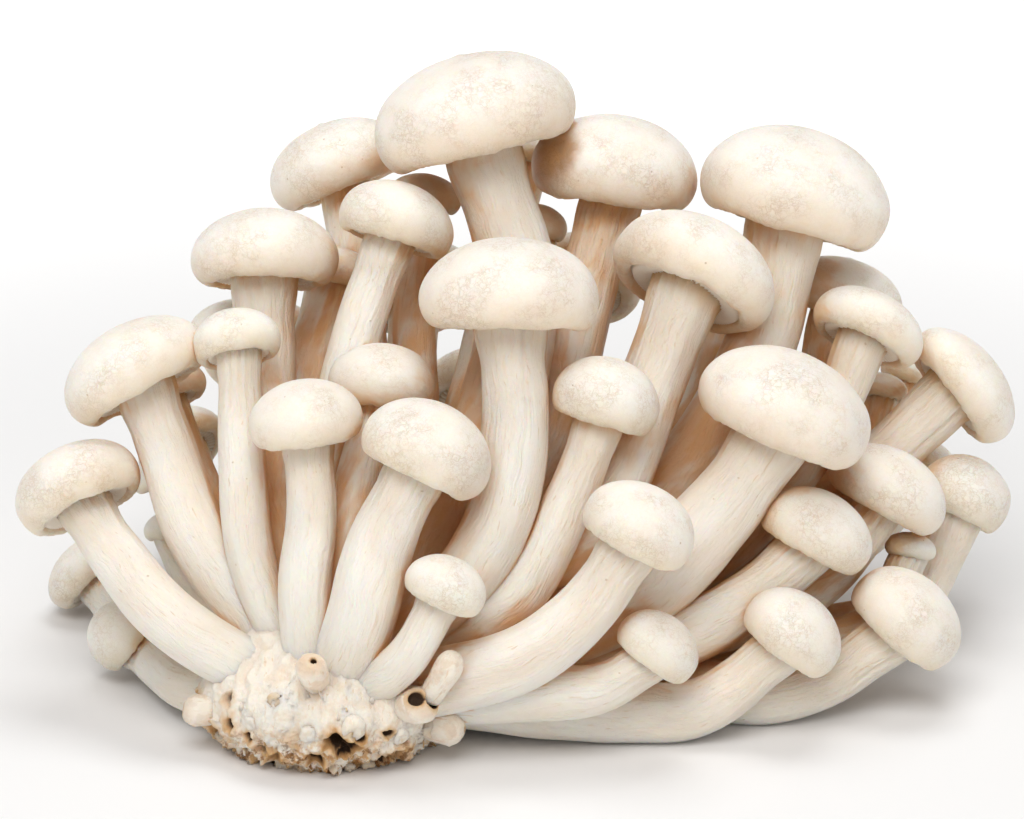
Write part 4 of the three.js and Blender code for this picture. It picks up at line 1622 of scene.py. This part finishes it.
        ((-13.5, -10, -32.5), (12, 6, -26), (24, 17, -22.5), (29, 24, -19.5)),
        (2, 2.6, 2.3), (6, 5.8), 35, -30),
)

BASE = RootBase(
    pits=(
        Pit(-32.9, -33.7, 0.55, 0.55), Pit(-34.1, -37.5, 0.95), Pit(-30.3, -37.8, 0.5, 0.8),
        Pit(-32.1, -40.1, 0.75, 0.9), Pit(-30.3, -42.6, 1.25), Pit(-28.5, -41.0, 0.7, 0.6),
        Pit(-23.2, -42.3, 1.3), Pit(-26.2, -43.3, 1.3, 0.9), Pit(-20.2, -38.2, 0.85),
        Pit(-18.8, -38.6, 0.8), Pit(-19.5, -39.4, 0.6), Pit(-17.7, -37.4, 0.45),
        Pit(-13.7, -39.7, 0.9, 0.85), Pit(-11.9, -40.6, 0.6, 0.6), Pit(-18.2, -42.6, 0.6, 0.6),
        Pit(-36.5, -35.5, 0.7, 0.45), Pit(-24.8, -42.0, 1.0, 0.8), Pit(-21.2, -40.9, 0.4, 0.4),
        Pit(-26.9, -40.3, 0.8), Pit(-15.6, -40.6, 0.8, 0.9), Pit(-32.6, -36.4, 0.6, 0.8),
        Pit(-22.6, -40.2, 0.7), Pit(-28.9, -39.2, 0.5, 0.7), Pit(-14.4, -37.3, 0.45, 0.8),
    ),
    nodules=(
        Nodule(-27.2, -33.6, 0.95, 0.8, 0.7, 0.25), Nodule(-35.7, -38.9, 0.95, 0.8, 0.7, 0.6),
        Nodule(-18.3, -36.4, 1.45, 1.2, 0.05, 0.0), Nodule(-9.8, -36.9, 1.1, 1.0, 0.5, 0.2),
        Nodule(-33.5, -41.3, 0.8, 0.8, 0.75, 0.2), Nodule(-18.9, -41.4, 0.7, 0.6, 0.6, 0.3),
        Nodule(-16.7, -41.2, 0.8, 0.6, 0.55, 0.2), Nodule(-36.9, -36.2, 0.9, 0.7, 0.35, 0.4),
        Nodule(-30.0, -36.1, 0.9, 0.6, 0.15, 0.1), Nodule(-23.4, -37.2, 1.1, 0.7, 0.05, 0.0),
        Nodule(-13.0, -37.6, 1.0, 0.7, 0.1, 0.0),
    ))


def report(pieces: Sequence[tuple[bpy.types.Object, str]]) -> None:
    """Logs the faces of each piece, and how far it stays inside its solid's box.

    Args:
        pieces: Each piece with the name of its CAD node.
    """
    total = 0
    for piece, name in pieces:
        total += len(piece.data.loops) - 2 * len(piece.data.polygons)
        low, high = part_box(name)
        sides = list(zip(*piece.bound_box))
        inside = max(max(min(side) - low[k], high[k] - max(side)) for k, side in enumerate(sides))
        LOG.info("%s: %d faces, farthest inside its solid %.2f mm", piece.name,
                 len(piece.data.polygons), inside / MM)
    LOG.info("%d pieces, %d triangles", len(pieces), total)


def main() -> None:
    """Builds the studio, the root base and every fruiting body, and reports each piece."""
    logging.basicConfig(level=logging.INFO, format="%(name)s: %(message)s")
    Studio().build()
    root_finish = RootFlesh().material()
    flesh = (CapSkin().material(), GillFlesh().material(), StemFlesh().material())
    pieces = [(BASE.dress(BASE.build(), (root_finish,)), BASE.name)]
    for seed, body in enumerate(FRUITING_BODIES, start=1):
        finishes = flesh if isinstance(body, Mushroom) else (root_finish,)
        pieces.append((body.dress(body.build(seed), finishes), body.name))
    Crowding().mark([piece for piece, name in pieces if name != BASE.name])
    report(pieces)


if __name__ == "__main__":
    main()
